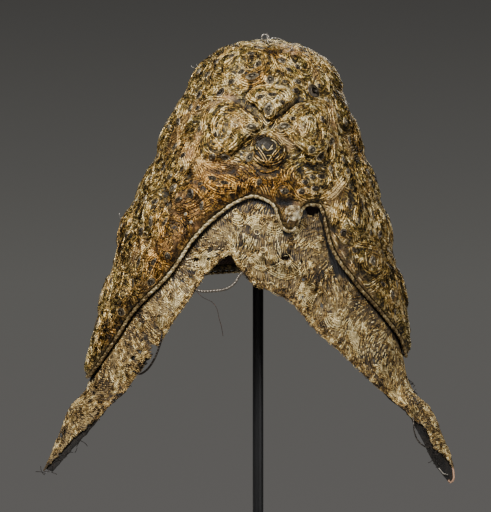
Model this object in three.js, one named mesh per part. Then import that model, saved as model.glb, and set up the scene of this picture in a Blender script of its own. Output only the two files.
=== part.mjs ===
// Padded and embroidered cap with a lace border, on a plain display stand.
// Millimetres, +Z up. The front faces -Y and the wearer's right hand side is at -X.
// The origin is under the middle of the stand's base, on the axis of its post.

import * as THREE from "three";

// Driving sizes of the cap
const apexHeight = 384; // top of the crown above the table
const crownHeight = 251; // apex down to the points of the side flaps
const lappetLength = 80; // flap points down to the points of the lace lappets
const crownHalfWidth = 125; // half the width across the side flaps
const crownFront = 90; // fullest depth in front of the post
const crownBack = 107; // fullest depth behind the post
const crownWall = 6; // padding, ground cloth and embroidery together
const rimRounding = 2.5; // how far the padding falls away at the hem
const rimBand = 9; // width of the band in which it falls away

// Driving sizes of what is sewn to the cap
const petalReach = 52; // furthest reach of the quatrefoil from its crossing
const petalRise = 5.5; // height of the padded petals
const bossRise = 8;
const lumpSize = 16; // half the size of a common motif
const lumpRise = 2.6; // height of a common motif
const pipingRadius = 1.5;
const liningWall = 1;
const laceWall = 2;
const laceRipple = 2.2; // depth of the folds in the lace
const lacePleat = 3.5; // step between the upper and the lower layer of the lace
const lappetSplay = 6; // how far the lappets stand out again once they are clear of the flaps
const backingWall = 1.2;

// Driving sizes of the stand
const baseRadius = 90;
const baseThickness = 10;
const baseChamfer = 1.5;
const postRadius = 4;
const domeSpan = 30; // from the middle of the dome to its edge, along its surface
const domeSkirt = 6; // straight side under the dome's edge

// Clearances
const seamGap = 0.3; // between sewn layers, and between the parts of the stand
const petalSeam = 0.45; // under the petals, which bridge the facets of the crown
const laceSeam = 0.6; // between the crown's inner face and the lace
const domeSeam = 0.9; // between the lining and the dome

// The levels of the cap. down is 0 at the apex, 1 at the flap points and 2 at the lappet points.
// half and lean (the sideways place of the middle) are shares of crownHalfWidth, front is a share of
// crownFront and back one of crownBack.
const levels = [
  { down: 0, half: 0, lean: 0.04, front: 0, back: 0 },
  { down: 0.012, half: 0.16, lean: 0.04, front: 0.222, back: 0.196 },
  { down: 0.032, half: 0.28, lean: 0.04, front: 0.378, back: 0.346 },
  { down: 0.06, half: 0.345, lean: 0.044, front: 0.467, back: 0.439 },
  { down: 0.12, half: 0.432, lean: 0.04, front: 0.6, back: 0.579 },
  { down: 0.18, half: 0.488, lean: 0.032, front: 0.689, back: 0.682 },
  { down: 0.24, half: 0.54, lean: 0.02, front: 0.767, back: 0.766 },
  { down: 0.3, half: 0.584, lean: 0.014, front: 0.833, back: 0.841 },
  { down: 0.36, half: 0.63, lean: 0.014, front: 0.889, back: 0.897 },
  { down: 0.42, half: 0.676, lean: 0.008, front: 0.933, back: 0.944 },
  { down: 0.48, half: 0.734, lean: -0.004, front: 0.967, back: 0.972 },
  { down: 0.54, half: 0.784, lean: -0.016, front: 0.989, back: 0.991 },
  { down: 0.6, half: 0.81, lean: -0.02, front: 1, back: 1 },
  { down: 0.66, half: 0.836, lean: -0.02, front: 1, back: 1 },
  { down: 0.72, half: 0.87, lean: -0.022, front: 0.989, back: 0.981 },
  { down: 0.78, half: 0.904, lean: -0.024, front: 0.978, back: 0.963 },
  { down: 0.84, half: 0.93, lean: -0.03, front: 0.956, back: 0.935 },
  { down: 0.9, half: 0.955, lean: -0.044, front: 0.933, back: 0.907 },
  { down: 1, half: 1, lean: -0.056, front: 0.889, back: 0.841 },
  { down: 1.49, half: 1.16, lean: -0.048, front: 0.844, back: 0.822 },
  { down: 2, half: 1.328, lean: -0.048, front: 0.778, back: 0.8 },
];

// The hem of the crown. turn is in degrees round the cap, 0 at the front and 90 at +X, and down is the
// same share as in the levels. The arch, the small tab at the front and the two flaps are all here.
const crownHem = [
  { turn: -180, down: 0.689 },
  { turn: -150, down: 0.701 },
  { turn: -130, down: 0.753 },
  { turn: -112, down: 0.873 },
  { turn: -100, down: 0.96 },
  { turn: -89, down: 0.994 },
  { turn: -80.5, down: 0.99 },
  { turn: -71.2, down: 0.955 },
  { turn: -63.3, down: 0.899 },
  { turn: -55.3, down: 0.812 },
  { turn: -47.4, down: 0.756 },
  { turn: -39.1, down: 0.702 },
  { turn: -28, down: 0.589 },
  { turn: -18.2, down: 0.52 },
  { turn: -11, down: 0.482 },
  { turn: -2.6, down: 0.464 },
  { turn: 5.2, down: 0.479 },
  { turn: 9.4, down: 0.503 },
  { turn: 11.1, down: 0.535 },
  { turn: 12.9, down: 0.56 },
  { turn: 14.8, down: 0.566 },
  { turn: 17, down: 0.555 },
  { turn: 18.9, down: 0.523 },
  { turn: 20.6, down: 0.501 },
  { turn: 24.7, down: 0.488 },
  { turn: 30, down: 0.489 },
  { turn: 32.4, down: 0.51 },
  { turn: 33.8, down: 0.57 },
  { turn: 35.3, down: 0.616 },
  { turn: 38, down: 0.652 },
  { turn: 42.7, down: 0.693 },
  { turn: 47.7, down: 0.737 },
  { turn: 56.4, down: 0.792 },
  { turn: 64.2, down: 0.835 },
  { turn: 77.3, down: 0.888 },
  { turn: 88, down: 0.935 },
  { turn: 100, down: 0.932 },
  { turn: 112, down: 0.873 },
  { turn: 130, down: 0.761 },
  { turn: 150, down: 0.701 },
  { turn: 180, down: 0.689 },
];

// The hem of the lining, which stays behind the crown's hem and clear of the lace.
const liningHem = [
  { turn: -180, down: 0.669 },
  { turn: -150, down: 0.681 },
  { turn: -130, down: 0.729 },
  { turn: -112, down: 0.845 },
  { turn: -100, down: 0.895 },
  { turn: -88, down: 0.905 },
  { turn: -75, down: 0.865 },
  { turn: -66, down: 0.815 },
  { turn: -58, down: 0.757 },
  { turn: -50, down: 0.7 },
  { turn: -42, down: 0.649 },
  { turn: -33, down: 0.566 },
  { turn: -24, down: 0.498 },
  { turn: -14, down: 0.45 },
  { turn: -4, down: 0.418 },
  { turn: 5, down: 0.414 },
  { turn: 15, down: 0.41 },
  { turn: 25, down: 0.422 },
  { turn: 32, down: 0.432 },
  { turn: 37, down: 0.462 },
  { turn: 42, down: 0.534 },
  { turn: 50, down: 0.64 },
  { turn: 58, down: 0.705 },
  { turn: 66, down: 0.757 },
  { turn: 75, down: 0.805 },
  { turn: 88, down: 0.857 },
  { turn: 100, down: 0.876 },
  { turn: 112, down: 0.833 },
  { turn: 130, down: 0.737 },
  { turn: 150, down: 0.681 },
  { turn: 180, down: 0.669 },
];

// The lace band from the left lappet's point over the arch to the right one. Each row is one station
// along it: its upper edge, sewn under the crown's hem, and its lower edge.
const laceStations = [
  { topTurn: -73.2, topDown: 1.88, lowTurn: -67.4, lowDown: 1.892 },
  { topTurn: -74.1, topDown: 1.657, lowTurn: -63.7, lowDown: 1.716 },
  { topTurn: -79.1, topDown: 1.392, lowTurn: -53.6, lowDown: 1.387 },
  { topTurn: -84, topDown: 1.233, lowTurn: -49.6, lowDown: 1.198 },
  { topTurn: -86, topDown: 1.09, lowTurn: -46.3, lowDown: 1.033 },
  { topTurn: -85, topDown: 0.955, lowTurn: -41.1, lowDown: 0.968 },
  { topTurn: -76, topDown: 0.915, lowTurn: -37.4, lowDown: 0.919 },
  { topTurn: -64, topDown: 0.845, lowTurn: -33.7, lowDown: 0.859 },
  { topTurn: -45.4, topDown: 0.69, lowTurn: -26.6, lowDown: 0.776 },
  { topTurn: -31.8, topDown: 0.572, lowTurn: -20.3, lowDown: 0.696 },
  { topTurn: -21.2, topDown: 0.5, lowTurn: -16.2, lowDown: 0.666 },
  { topTurn: -12.9, topDown: 0.462, lowTurn: -11.1, lowDown: 0.639 },
  { topTurn: -3.3, topDown: 0.442, lowTurn: -7.2, lowDown: 0.676 },
  { topTurn: 5.6, topDown: 0.448, lowTurn: -1.1, lowDown: 0.725 },
  { topTurn: 15.8, topDown: 0.456, lowTurn: 8.3, lowDown: 0.754 },
  { topTurn: 23.8, topDown: 0.459, lowTurn: 14.4, lowDown: 0.778 },
  { topTurn: 31.5, topDown: 0.465, lowTurn: 18.9, lowDown: 0.815 },
  { topTurn: 37.4, topDown: 0.52, lowTurn: 23.7, lowDown: 0.856 },
  { topTurn: 40.5, topDown: 0.6, lowTurn: 28.5, lowDown: 0.889 },
  { topTurn: 46, topDown: 0.65, lowTurn: 34.6, lowDown: 0.924 },
  { topTurn: 55, topDown: 0.722, lowTurn: 41.7, lowDown: 0.967 },
  { topTurn: 66, topDown: 0.79, lowTurn: 51.5, lowDown: 1.093 },
  { topTurn: 78, topDown: 0.845, lowTurn: 55.8, lowDown: 1.173 },
  { topTurn: 84, topDown: 0.935, lowTurn: 57.5, lowDown: 1.265 },
  { topTurn: 85, topDown: 1.06, lowTurn: 58, lowDown: 1.327 },
  { topTurn: 84.5, topDown: 1.235, lowTurn: 60.5, lowDown: 1.377 },
  { topTurn: 79.1, topDown: 1.411, lowTurn: 59.6, lowDown: 1.485 },
  { topTurn: 75.7, topDown: 1.65, lowTurn: 60.7, lowDown: 1.688 },
  { topTurn: 73, topDown: 1.805, lowTurn: 63, lowDown: 1.855 },
  { topTurn: 67.5, topDown: 1.967, lowTurn: 64.5, lowDown: 1.98 },
];

// The cloth behind each lappet, as stations from its point up to the flap: its outer and its inner edge.
const leftBackingStations = [
  { topTurn: -71, topDown: 1.9, lowTurn: -67.6, lowDown: 1.915 },
  { topTurn: -72, topDown: 1.65, lowTurn: -62.6, lowDown: 1.735 },
  { topTurn: -75, topDown: 1.39, lowTurn: -52.8, lowDown: 1.42 },
  { topTurn: -78, topDown: 1.23, lowTurn: -50, lowDown: 1.235 },
  { topTurn: -78, topDown: 1.08, lowTurn: -50, lowDown: 1.05 },
  { topTurn: -75, topDown: 0.985, lowTurn: -50, lowDown: 0.96 },
];
const rightBackingStations = [
  { topTurn: 76, topDown: 1, lowTurn: 60, lowDown: 1.06 },
  { topTurn: 77, topDown: 1.1, lowTurn: 60.5, lowDown: 1.23 },
  { topTurn: 77, topDown: 1.235, lowTurn: 62.4, lowDown: 1.37 },
  { topTurn: 75, topDown: 1.41, lowTurn: 61.9, lowDown: 1.5 },
  { topTurn: 73, topDown: 1.65, lowTurn: 62.6, lowDown: 1.7 },
  { topTurn: 70.4, topDown: 1.83, lowTurn: 64.2, lowDown: 1.87 },
];

// The outlines of the padded petals, seen from outside, as shares of petalReach from the crossing of the
// quatrefoil: across to the right and up. Each goes round anticlockwise from its middle's right.
const crossing = { turn: 4.3, down: 0.262 };
const petals = {
  petal_top: {
    middle: { across: 0.01, up: 0.3 },
    edge: [
      { across: 0.1, up: 0.14 },
      { across: 0.2, up: 0.25 },
      { across: 0.34, up: 0.4 },
      { across: 0.22, up: 0.53 },
      { across: 0, up: 0.57 },
      { across: -0.22, up: 0.52 },
      { across: -0.33, up: 0.39 },
      { across: -0.19, up: 0.24 },
      { across: -0.1, up: 0.14 },
      { across: 0, up: 0.03 },
    ],
  },
  petal_left: {
    middle: { across: -0.56, up: -0.12 },
    edge: [
      { across: -0.08, up: -0.03 },
      { across: -0.21, up: 0.1 },
      { across: -0.36, up: 0.24 },
      { across: -0.62, up: 0.31 },
      { across: -0.85, up: 0.16 },
      { across: -0.91, up: -0.06 },
      { across: -0.98, up: -0.31 },
      { across: -0.92, up: -0.5 },
      { across: -0.73, up: -0.58 },
      { across: -0.5, up: -0.46 },
      { across: -0.34, up: -0.3 },
      { across: -0.21, up: -0.15 },
    ],
  },
  petal_right: {
    middle: { across: 0.52, up: -0.1 },
    edge: [
      { across: 0.85, up: -0.02 },
      { across: 0.85, up: 0.18 },
      { across: 0.66, up: 0.34 },
      { across: 0.41, up: 0.29 },
      { across: 0.22, up: 0.12 },
      { across: 0.08, up: 0 },
      { across: 0.18, up: -0.12 },
      { across: 0.28, up: -0.24 },
      { across: 0.42, up: -0.4 },
      { across: 0.56, up: -0.5 },
      { across: 0.78, up: -0.48 },
      { across: 0.9, up: -0.28 },
    ],
  },
  centre_boss: {
    middle: { across: -0.01, up: -0.41 },
    edge: [
      { across: 0.24, up: -0.41 },
      { across: 0.17, up: -0.24 },
      { across: -0.01, up: -0.16 },
      { across: -0.19, up: -0.24 },
      { across: -0.26, up: -0.41 },
      { across: -0.19, up: -0.59 },
      { across: -0.01, up: -0.66 },
      { across: 0.17, up: -0.59 },
    ],
  },
};

// How the padding rises from the middle of a petal (out 0) to its edge (out 1), as shares of its height.
const petalRelief = [
  { out: 0, rise: 0.85 },
  { out: 0.28, rise: 1 },
  { out: 0.5, rise: 0.7 },
  { out: 0.7, rise: 0.95 },
  { out: 0.88, rise: 0.75 },
  { out: 1, rise: 0.2 },
];
const bossRelief = [
  { out: 0, rise: 1 },
  { out: 0.3, rise: 0.96 },
  { out: 0.55, rise: 0.84 },
  { out: 0.78, rise: 0.6 },
  { out: 1, rise: 0.15 },
];

// The padded motifs on the front of the crown. wide, tall and rise are shares of lumpSize and lumpRise,
// and tilt turns a motif in its plane, in degrees.
const frontMotifs = [
  { turn: -13.9, down: 0.075, wide: 1.1, tall: 1, tilt: 0, rise: 1.1 },
  { turn: 31, down: 0.08, wide: 0.8, tall: 1.2, tilt: 30, rise: 0.9 },
  { turn: 47, down: 0.143, wide: 0.8, tall: 0.9, tilt: 0, rise: 1 },
  { turn: -38, down: 0.075, wide: 0.8, tall: 0.9, tilt: 0, rise: 0.7 },
  { turn: -58, down: 0.14, wide: 0.9, tall: 0.9, tilt: 0, rise: 0.9 },
  { turn: -70, down: 0.22, wide: 0.9, tall: 1, tilt: 0, rise: 1 },
  { turn: 66, down: 0.22, wide: 0.9, tall: 1, tilt: 0, rise: 0.8 },
  { turn: -49, down: 0.382, wide: 0.7, tall: 1.3, tilt: -20, rise: 1 },
  { turn: -33.5, down: 0.47, wide: 1, tall: 0.9, tilt: 20, rise: 1 },
  { turn: -17, down: 0.44, wide: 1.2, tall: 0.7, tilt: -25, rise: 1 },
  { turn: 28, down: 0.425, wide: 1, tall: 0.7, tilt: 0, rise: 1 },
  { turn: 47, down: 0.4, wide: 0.7, tall: 1.3, tilt: 10, rise: 1 },
  { turn: -53, down: 0.52, wide: 0.9, tall: 1.2, tilt: 10, rise: 1.1 },
  { turn: -38.2, down: 0.6, wide: 0.9, tall: 1, tilt: 30, rise: 1 },
  { turn: -49, down: 0.68, wide: 1, tall: 1, tilt: 35, rise: 1.1 },
  { turn: -64, down: 0.62, wide: 0.9, tall: 1.2, tilt: 10, rise: 1 },
  { turn: -60, down: 0.8, wide: 1, tall: 1.1, tilt: 35, rise: 1.1 },
  { turn: -74, down: 0.86, wide: 0.9, tall: 1.2, tilt: 10, rise: 1 },
  { turn: 47, down: 0.53, wide: 0.9, tall: 1.2, tilt: -10, rise: 1.1 },
  { turn: 53, down: 0.655, wide: 1, tall: 1, tilt: -30, rise: 1 },
  { turn: 67, down: 0.73, wide: 1, tall: 1.1, tilt: -25, rise: 1.1 },
];

// The same motifs in even rows over the sides and the back.
const motifRows = [
  { down: 0.1, firstTurn: 80, lastTurn: 290, count: 6 },
  { down: 0.28, firstTurn: 84, lastTurn: 272, count: 8 },
  { down: 0.42, firstTurn: 68, lastTurn: 290, count: 11 },
  { down: 0.56, firstTurn: 72, lastTurn: 282, count: 11 },
  { down: 0.74, firstTurn: 86, lastTurn: 120, count: 3 },
  { down: 0.76, firstTurn: 244, lastTurn: 274, count: 3 },
];

// Fineness of the faceted forms
const hemZones = [
  { from: -180, to: -90, steps: 16 },
  { from: -90, to: -36, steps: 14 },
  { from: -36, to: 8, steps: 12 },
  { from: 8, to: 36, steps: 16 },
  { from: 36, to: 90, steps: 14 },
  { from: 90, to: 180, steps: 16 },
];
const outerRows = 20;
const innerRows = [0.04, 0.09, 0.15, 0.23, 0.35, 0.5, 0.66, 0.83, 1];
const facingRows = [0.34, 0.67];
const laceShares = [0, 0.18, 0.4, 0.6, 0.68, 1];
const backingShares = [0, 0.33, 0.67, 1];
const petalSides = 20;
const pipingSides = 6;
const domeShares = [0.34, 0.68, 1];
const domeColumns = 24;
const roundSegments = 48;
const postSegments = 20;

// A smooth curve through points that rise in x, which never overshoots them.
function smoothCurve(xs, ys, firstSlope = (ys[1] - ys[0]) / (xs[1] - xs[0])) {
  const chords = xs.slice(1).map((x, i) => (ys[i + 1] - ys[i]) / (x - xs[i]));
  const slopes = xs.map((x, i) => {
    if (i === 0) return firstSlope;
    if (i === xs.length - 1) return chords[i - 1];
    const before = chords[i - 1];
    const after = chords[i];
    return before * after <= 0 ? 0 : (2 * before * after) / (before + after);
  });
  return (x) => {
    const found = xs.findIndex((next) => next > x) - 1;
    const i = found < 0 ? (x < xs[0] ? 0 : xs.length - 2) : found;
    const span = xs[i + 1] - xs[i];
    const s = THREE.MathUtils.clamp((x - xs[i]) / span, 0, 1);
    const rise = ys[i + 1] - ys[i];
    const start = slopes[i] * span;
    const end = slopes[i + 1] * span;
    return ys[i] + s * (start + s * (3 * rise - 2 * start - end + s * (start + end - 2 * rise)));
  };
}

// Turns a share down the cap into a drop below the apex.
function dropAt(down) {
  return down <= 1 ? down * crownHeight : crownHeight + (down - 1) * lappetLength;
}

// The cap's form at each level in millimetres, and the run from the apex to it along the mean profile.
const sections = levels.map((level) => ({
  drop: dropAt(level.down),
  half: level.half * crownHalfWidth,
  lean: level.lean * crownHalfWidth,
  front: level.front * crownFront,
  back: level.back * crownBack,
}));
const runs = [0];
for (let i = 1; i < sections.length; i += 1) {
  const sideways = sections[i].half - sections[i - 1].half;
  const downwards = sections[i].drop - sections[i - 1].drop;
  runs.push(runs[i - 1] + Math.hypot(sideways, downwards));
}
const fullRun = runs[runs.length - 1];

function levelCurve(name, firstSlope) {
  return smoothCurve(runs, sections.map((section) => section[name]), firstSlope);
}
const profile = {
  drop: levelCurve("drop", 0),
  half: levelCurve("half"),
  lean: levelCurve("lean", 0),
  front: levelCurve("front"),
  back: levelCurve("back"),
};

// The run at which the profile has come down to a level, found by halving.
function runAt(down) {
  const drop = dropAt(down);
  let low = 0;
  let high = fullRun;
  for (let i = 0; i < 40; i += 1) {
    const middle = (low + high) / 2;
    if (profile.drop(middle) < drop) low = middle;
    else high = middle;
  }
  return (low + high) / 2;
}

// A point of the cap's outer form: an oval section that has its own front and back depth.
function onForm(turn, run) {
  const angle = THREE.MathUtils.degToRad(turn);
  const ahead = Math.cos(angle);
  const depth = ahead >= 0 ? profile.front(run) : profile.back(run);
  const x = profile.lean(run) + profile.half(run) * Math.sin(angle);
  return new THREE.Vector3(x, -depth * ahead, apexHeight - profile.drop(run));
}

// The outward direction there, from two short steps along the form.
function outward(turn, run) {
  const step = 0.5;
  const at = Math.min(Math.max(run, 2 * step), fullRun - step);
  const across = onForm(turn + step, at).sub(onForm(turn - step, at));
  const down = onForm(turn, at + step).sub(onForm(turn, at - step));
  return down.cross(across).normalize();
}

// A point that lies off the form, outwards where lift is above 0.
function offForm(turn, run, lift) {
  return onForm(turn, run).addScaledVector(outward(turn, run), lift);
}

function apexPoint(lift) {
  return onForm(0, 0).add(new THREE.Vector3(0, 0, lift));
}

// Turn and run of a place that lies across and up from another, measured along the form.
function besides(place, across, up) {
  const run = place.run - up;
  const turn = place.turn + THREE.MathUtils.radToDeg(across / profile.half(run));
  return { turn, run };
}

function hemCurve(rows) {
  const curve = smoothCurve(rows.map((row) => row.turn), rows.map((row) => runAt(row.down)), 0);
  return (turn) => curve(THREE.MathUtils.euclideanModulo(turn + 180, 360) - 180);
}
const crownHemRun = hemCurve(crownHem);
const liningHemRun = hemCurve(liningHem);

// The turns of the columns, closer together where the hem bends most.
const columns = hemZones.flatMap(({ from, to, steps }) => {
  return Array.from({ length: steps }, (_, i) => from + ((to - from) * i) / steps);
});
const wideColumns = columns.filter((_, i) => i % 2 === 0);

// Collects the corners and triangles of one closed solid. A row is a list of corner numbers. A band
// joins an upper row to a lower one. It faces outwards where its rows go anticlockwise seen from outside,
// and inwards where that is asked for.
class Solid {
  places = [];
  faces = [];

  corner(place) {
    this.places.push(place.x, place.y, place.z);
    return this.places.length / 3 - 1;
  }

  row(points) {
    return points.map((point) => this.corner(point));
  }

  face(a, b, c, inward = false) {
    if (inward) this.faces.push(a, c, b);
    else this.faces.push(a, b, c);
  }

  // Joins two rows of equal length. A closed band also joins their ends.
  band(upper, lower, { closed = true, inward = false } = {}) {
    const last = closed ? upper.length : upper.length - 1;
    for (let i = 0; i < last; i += 1) {
      const next = (i + 1) % upper.length;
      this.face(upper[i], lower[i], lower[next], inward);
      this.face(upper[i], lower[next], upper[next], inward);
    }
  }

  bands(rows, options) {
    for (let i = 1; i < rows.length; i += 1) this.band(rows[i - 1], rows[i], options);
  }

  // Joins a closed inward facing row to a lower one that has twice as many corners.
  doublingBand(upper, lower) {
    for (let i = 0; i < upper.length; i += 1) {
      const next = (i + 1) % upper.length;
      const [first, between, last] = [lower[2 * i], lower[2 * i + 1], lower[(2 * i + 2) % lower.length]];
      this.face(upper[i], first, between, true);
      this.face(upper[i], between, upper[next], true);
      this.face(upper[next], between, last, true);
    }
  }

  // Joins a closed row to one corner above it.
  fan(tip, ring, inward = false) {
    ring.forEach((corner, i) => this.face(tip, corner, ring[(i + 1) % ring.length], inward));
  }

  geometry() {
    const geometry = new THREE.BufferGeometry();
    geometry.setAttribute("position", new THREE.Float32BufferAttribute(this.places, 3));
    geometry.setIndex(this.faces);
    geometry.computeVertexNormals();
    return geometry;
  }
}

// A sheet of cloth with a thickness. front and back are grids of points with the same rows.
function sheetGeometry(front, back) {
  const solid = new Solid();
  const frontRows = front.map((points) => solid.row(points));
  const backRows = back.map((points) => solid.row(points));
  const lastRow = frontRows.length - 1;
  const lastColumn = frontRows[0].length - 1;
  const open = { closed: false };
  solid.bands(frontRows, open);
  solid.bands(backRows, { closed: false, inward: true });
  solid.band(backRows[0], frontRows[0], open);
  solid.band(frontRows[lastRow], backRows[lastRow], open);
  const leftEdge = frontRows.map((row, i) => [backRows[i][0], row[0]]);
  const rightEdge = frontRows.map((row, i) => [row[lastColumn], backRows[i][lastColumn]]);
  solid.bands(leftEdge, open);
  solid.bands(rightEdge, open);
  return solid.geometry();
}

// The motifs with their sizes in millimetres, those of the front and those of the rows.
const rowMotifs = motifRows.flatMap(({ down, firstTurn, lastTurn, count }) => {
  return Array.from({ length: count }, (_, i) => {
    const turn = firstTurn + ((lastTurn - firstTurn) * i) / (count - 1);
    return { turn, down, wide: 1, tall: 1, tilt: 0, rise: 1 };
  });
});
const motifs = [...frontMotifs, ...rowMotifs].map((motif) => ({
  turn: motif.turn,
  run: runAt(motif.down),
  wide: motif.wide * lumpSize,
  tall: motif.tall * lumpSize,
  tilt: THREE.MathUtils.degToRad(motif.tilt),
  rise: motif.rise * lumpRise,
}));

// How far one place on the form lies across and up from another, in millimetres along the form.
function offsetFrom(place, turn, run) {
  const turnGap = THREE.MathUtils.euclideanModulo(turn - place.turn + 180, 360) - 180;
  const across = THREE.MathUtils.degToRad(turnGap) * profile.half(run);
  return { across, up: place.run - run };
}

// The padding stays flat under the quatrefoil, inside an oval that holds all its petals.
const quatrefoil = { turn: crossing.turn, run: runAt(crossing.down) };
const flatField = { across: -0.05, up: -0.05, wide: 1.18, tall: 0.9, edge: 1.25 };

function besideQuatrefoil(turn, run) {
  const { across, up } = offsetFrom(quatrefoil, turn, run);
  const sideways = (across / petalReach - flatField.across) / flatField.wide;
  const upwards = (up / petalReach - flatField.up) / flatField.tall;
  return THREE.MathUtils.smoothstep(Math.hypot(sideways, upwards), 1, flatField.edge);
}

// How far the embroidered face stands out from the cap's form: the motifs, less the rounding at the hem.
function faceLift(turn, run) {
  const heights = motifs.map((motif) => {
    const { across, up } = offsetFrom(motif, turn, run);
    const along = (across * Math.cos(motif.tilt) + up * Math.sin(motif.tilt)) / motif.wide;
    const over = (up * Math.cos(motif.tilt) - across * Math.sin(motif.tilt)) / motif.tall;
    const reach = along * along + over * over;
    return reach < 1 ? motif.rise * (1 - reach * reach) : 0;
  });
  const fromHem = Math.max(crownHemRun(turn) - run, 0);
  const relief = Math.max(...heights) * besideQuatrefoil(turn, run);
  const rounding = Math.max(1 - fromHem / rimBand, 0) ** 2;
  return relief * THREE.MathUtils.smoothstep(fromHem, 0, rimBand) - rimRounding * rounding;
}

// The crown: a padded shell from the apex down to the arched hem.
function crownGeometry() {
  const solid = new Solid();
  const outerRings = Array.from({ length: outerRows }, (_, i) => {
    return solid.row(columns.map((turn) => {
      const run = (crownHemRun(turn) * (i + 1)) / outerRows;
      return offForm(turn, run, faceLift(turn, run));
    }));
  });
  const innerRings = [...liningRings(-crownWall), ...facingRings(-crownWall)].map((ring) => solid.row(ring));
  const rim = solid.row(columns.map((turn) => offForm(turn, crownHemRun(turn), -crownWall)));
  solid.fan(solid.corner(apexPoint(faceLift(0, 0))), outerRings[0]);
  solid.bands(outerRings);
  solid.band(outerRings[outerRows - 1], rim);
  solid.doublingBand(innerRings[innerRings.length - 1], rim);
  solid.bands(innerRings, { inward: true });
  solid.fan(solid.corner(apexPoint(-crownWall)), innerRings[0], true);
  return solid.geometry();
}

// Rings of points from near the apex down to the lining's hem, at one depth in the cap.
function liningRings(lift) {
  return innerRows.map((share) => {
    return wideColumns.map((turn) => offForm(turn, share * liningHemRun(turn), lift));
  });
}

// Rings from there on to the crown's own hem.
function facingRings(lift) {
  return facingRows.map((share) => wideColumns.map((turn) => {
    return offForm(turn, THREE.MathUtils.lerp(liningHemRun(turn), crownHemRun(turn), share), lift);
  }));
}

// The lining: a thin shell just inside the crown.
const liningLift = -(crownWall + seamGap);
function liningGeometry() {
  const solid = new Solid();
  const outerRings = liningRings(liningLift).map((ring) => solid.row(ring));
  const innerRings = liningRings(liningLift - liningWall).map((ring) => solid.row(ring));
  solid.fan(solid.corner(apexPoint(liningLift)), outerRings[0]);
  solid.bands(outerRings);
  solid.band(outerRings[outerRings.length - 1], innerRings[innerRings.length - 1]);
  solid.bands(innerRings, { inward: true });
  solid.fan(solid.corner(apexPoint(liningLift - liningWall)), innerRings[0], true);
  return solid.geometry();
}

// A padded petal: a flat underside on the crown and a moulded face over it, inside a rounded outline.
function petalGeometry({ middle, edge }, relief, height) {
  const bearing = ({ across, up }) => Math.atan2(up - middle.up, across - middle.across);
  const bearings = edge.map(bearing).map((angle) => THREE.MathUtils.euclideanModulo(angle, 2 * Math.PI));
  const reaches = edge.map(({ across, up }) => Math.hypot(across - middle.across, up - middle.up));
  const order = bearings.map((_, i) => i).sort((a, b) => bearings[a] - bearings[b]);
  const angles = order.map((i) => bearings[i]);
  const lengths = order.map((i) => reaches[i]);
  const last = order.length - 1;
  const outline = smoothCurve(
    [angles[last] - 2 * Math.PI, ...angles, angles[0] + 2 * Math.PI],
    [lengths[last], ...lengths, lengths[0]],
  );
  const ring = (out, lift) => Array.from({ length: petalSides }, (_, i) => {
    const angle = (2 * Math.PI * i) / petalSides;
    const reach = out * outline(angle);
    const across = (middle.across + reach * Math.cos(angle)) * petalReach;
    const up = (middle.up + reach * Math.sin(angle)) * petalReach;
    const { turn, run } = besides(quatrefoil, across, up);
    return offForm(turn, run, lift);
  });
  const heart = (lift) => {
    const { turn, run } = besides(quatrefoil, middle.across * petalReach, middle.up * petalReach);
    return offForm(turn, run, lift);
  };
  const solid = new Solid();
  const faceRings = relief.slice(1).map(({ out, rise }) => solid.row(ring(out, petalSeam + rise * height)));
  const soleRings = relief.slice(1).map(({ out }) => solid.row(ring(out, petalSeam)));
  solid.fan(solid.corner(heart(petalSeam + relief[0].rise * height)), faceRings[0]);
  solid.bands(faceRings);
  solid.band(faceRings[faceRings.length - 1], soleRings[soleRings.length - 1]);
  solid.bands(soleRings, { inward: true });
  solid.fan(solid.corner(heart(petalSeam)), soleRings[0], true);
  return solid.geometry();
}

// The corded edging: a tube that follows the hem, just under the crown's rim.
function pipingGeometry() {
  const rimLift = -(rimRounding + crownWall) / 2;
  const onRim = (turn) => offForm(turn, crownHemRun(turn), rimLift);
  const step = 0.3;
  const solid = new Solid();
  const rings = columns.map((turn) => {
    const along = onRim(turn + step).sub(onRim(turn - step)).normalize();
    const below = along.clone().cross(outward(turn, crownHemRun(turn))).normalize();
    const ahead = below.clone().cross(along);
    const centre = onRim(turn).addScaledVector(below, pipingRadius + seamGap);
    return solid.row(Array.from({ length: pipingSides }, (_, i) => {
      const angle = (2 * Math.PI * (i + 0.5)) / pipingSides;
      const point = centre.clone().addScaledVector(ahead, pipingRadius * Math.cos(angle));
      return point.addScaledVector(below, pipingRadius * Math.sin(angle));
    }));
  });
  rings.forEach((ring, i) => solid.band(ring, rings[(i + 1) % rings.length], { inward: true }));
  return solid.geometry();
}

// How far a lappet stands out at a run: nothing behind the flap, all of it a little below.
const splayFrom = runAt(1.07);
const splayTo = runAt(1.32);
function splay(run) {
  return lappetSplay * THREE.MathUtils.smoothstep(run, splayFrom, splayTo);
}

// A grid of points on a band that is given by stations along it. The lift may change over the band.
function bandGrid(stations, columnCount, shares, lift) {
  const numbers = stations.map((_, i) => i);
  const curve = (name) => smoothCurve(numbers, stations.map((station) => station[name]));
  const runCurve = (name) => smoothCurve(numbers, stations.map((station) => runAt(station[name])));
  const [topTurn, lowTurn] = [curve("topTurn"), curve("lowTurn")];
  const [topRun, lowRun] = [runCurve("topDown"), runCurve("lowDown")];
  return shares.map((share) => Array.from({ length: columnCount + 1 }, (_, i) => {
    const along = i / columnCount;
    const at = along * (stations.length - 1);
    const turn = THREE.MathUtils.lerp(topTurn(at), lowTurn(at), share);
    const run = THREE.MathUtils.lerp(topRun(at), lowRun(at), share);
    return offForm(turn, run, lift(along, share) + splay(run));
  }));
}

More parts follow.
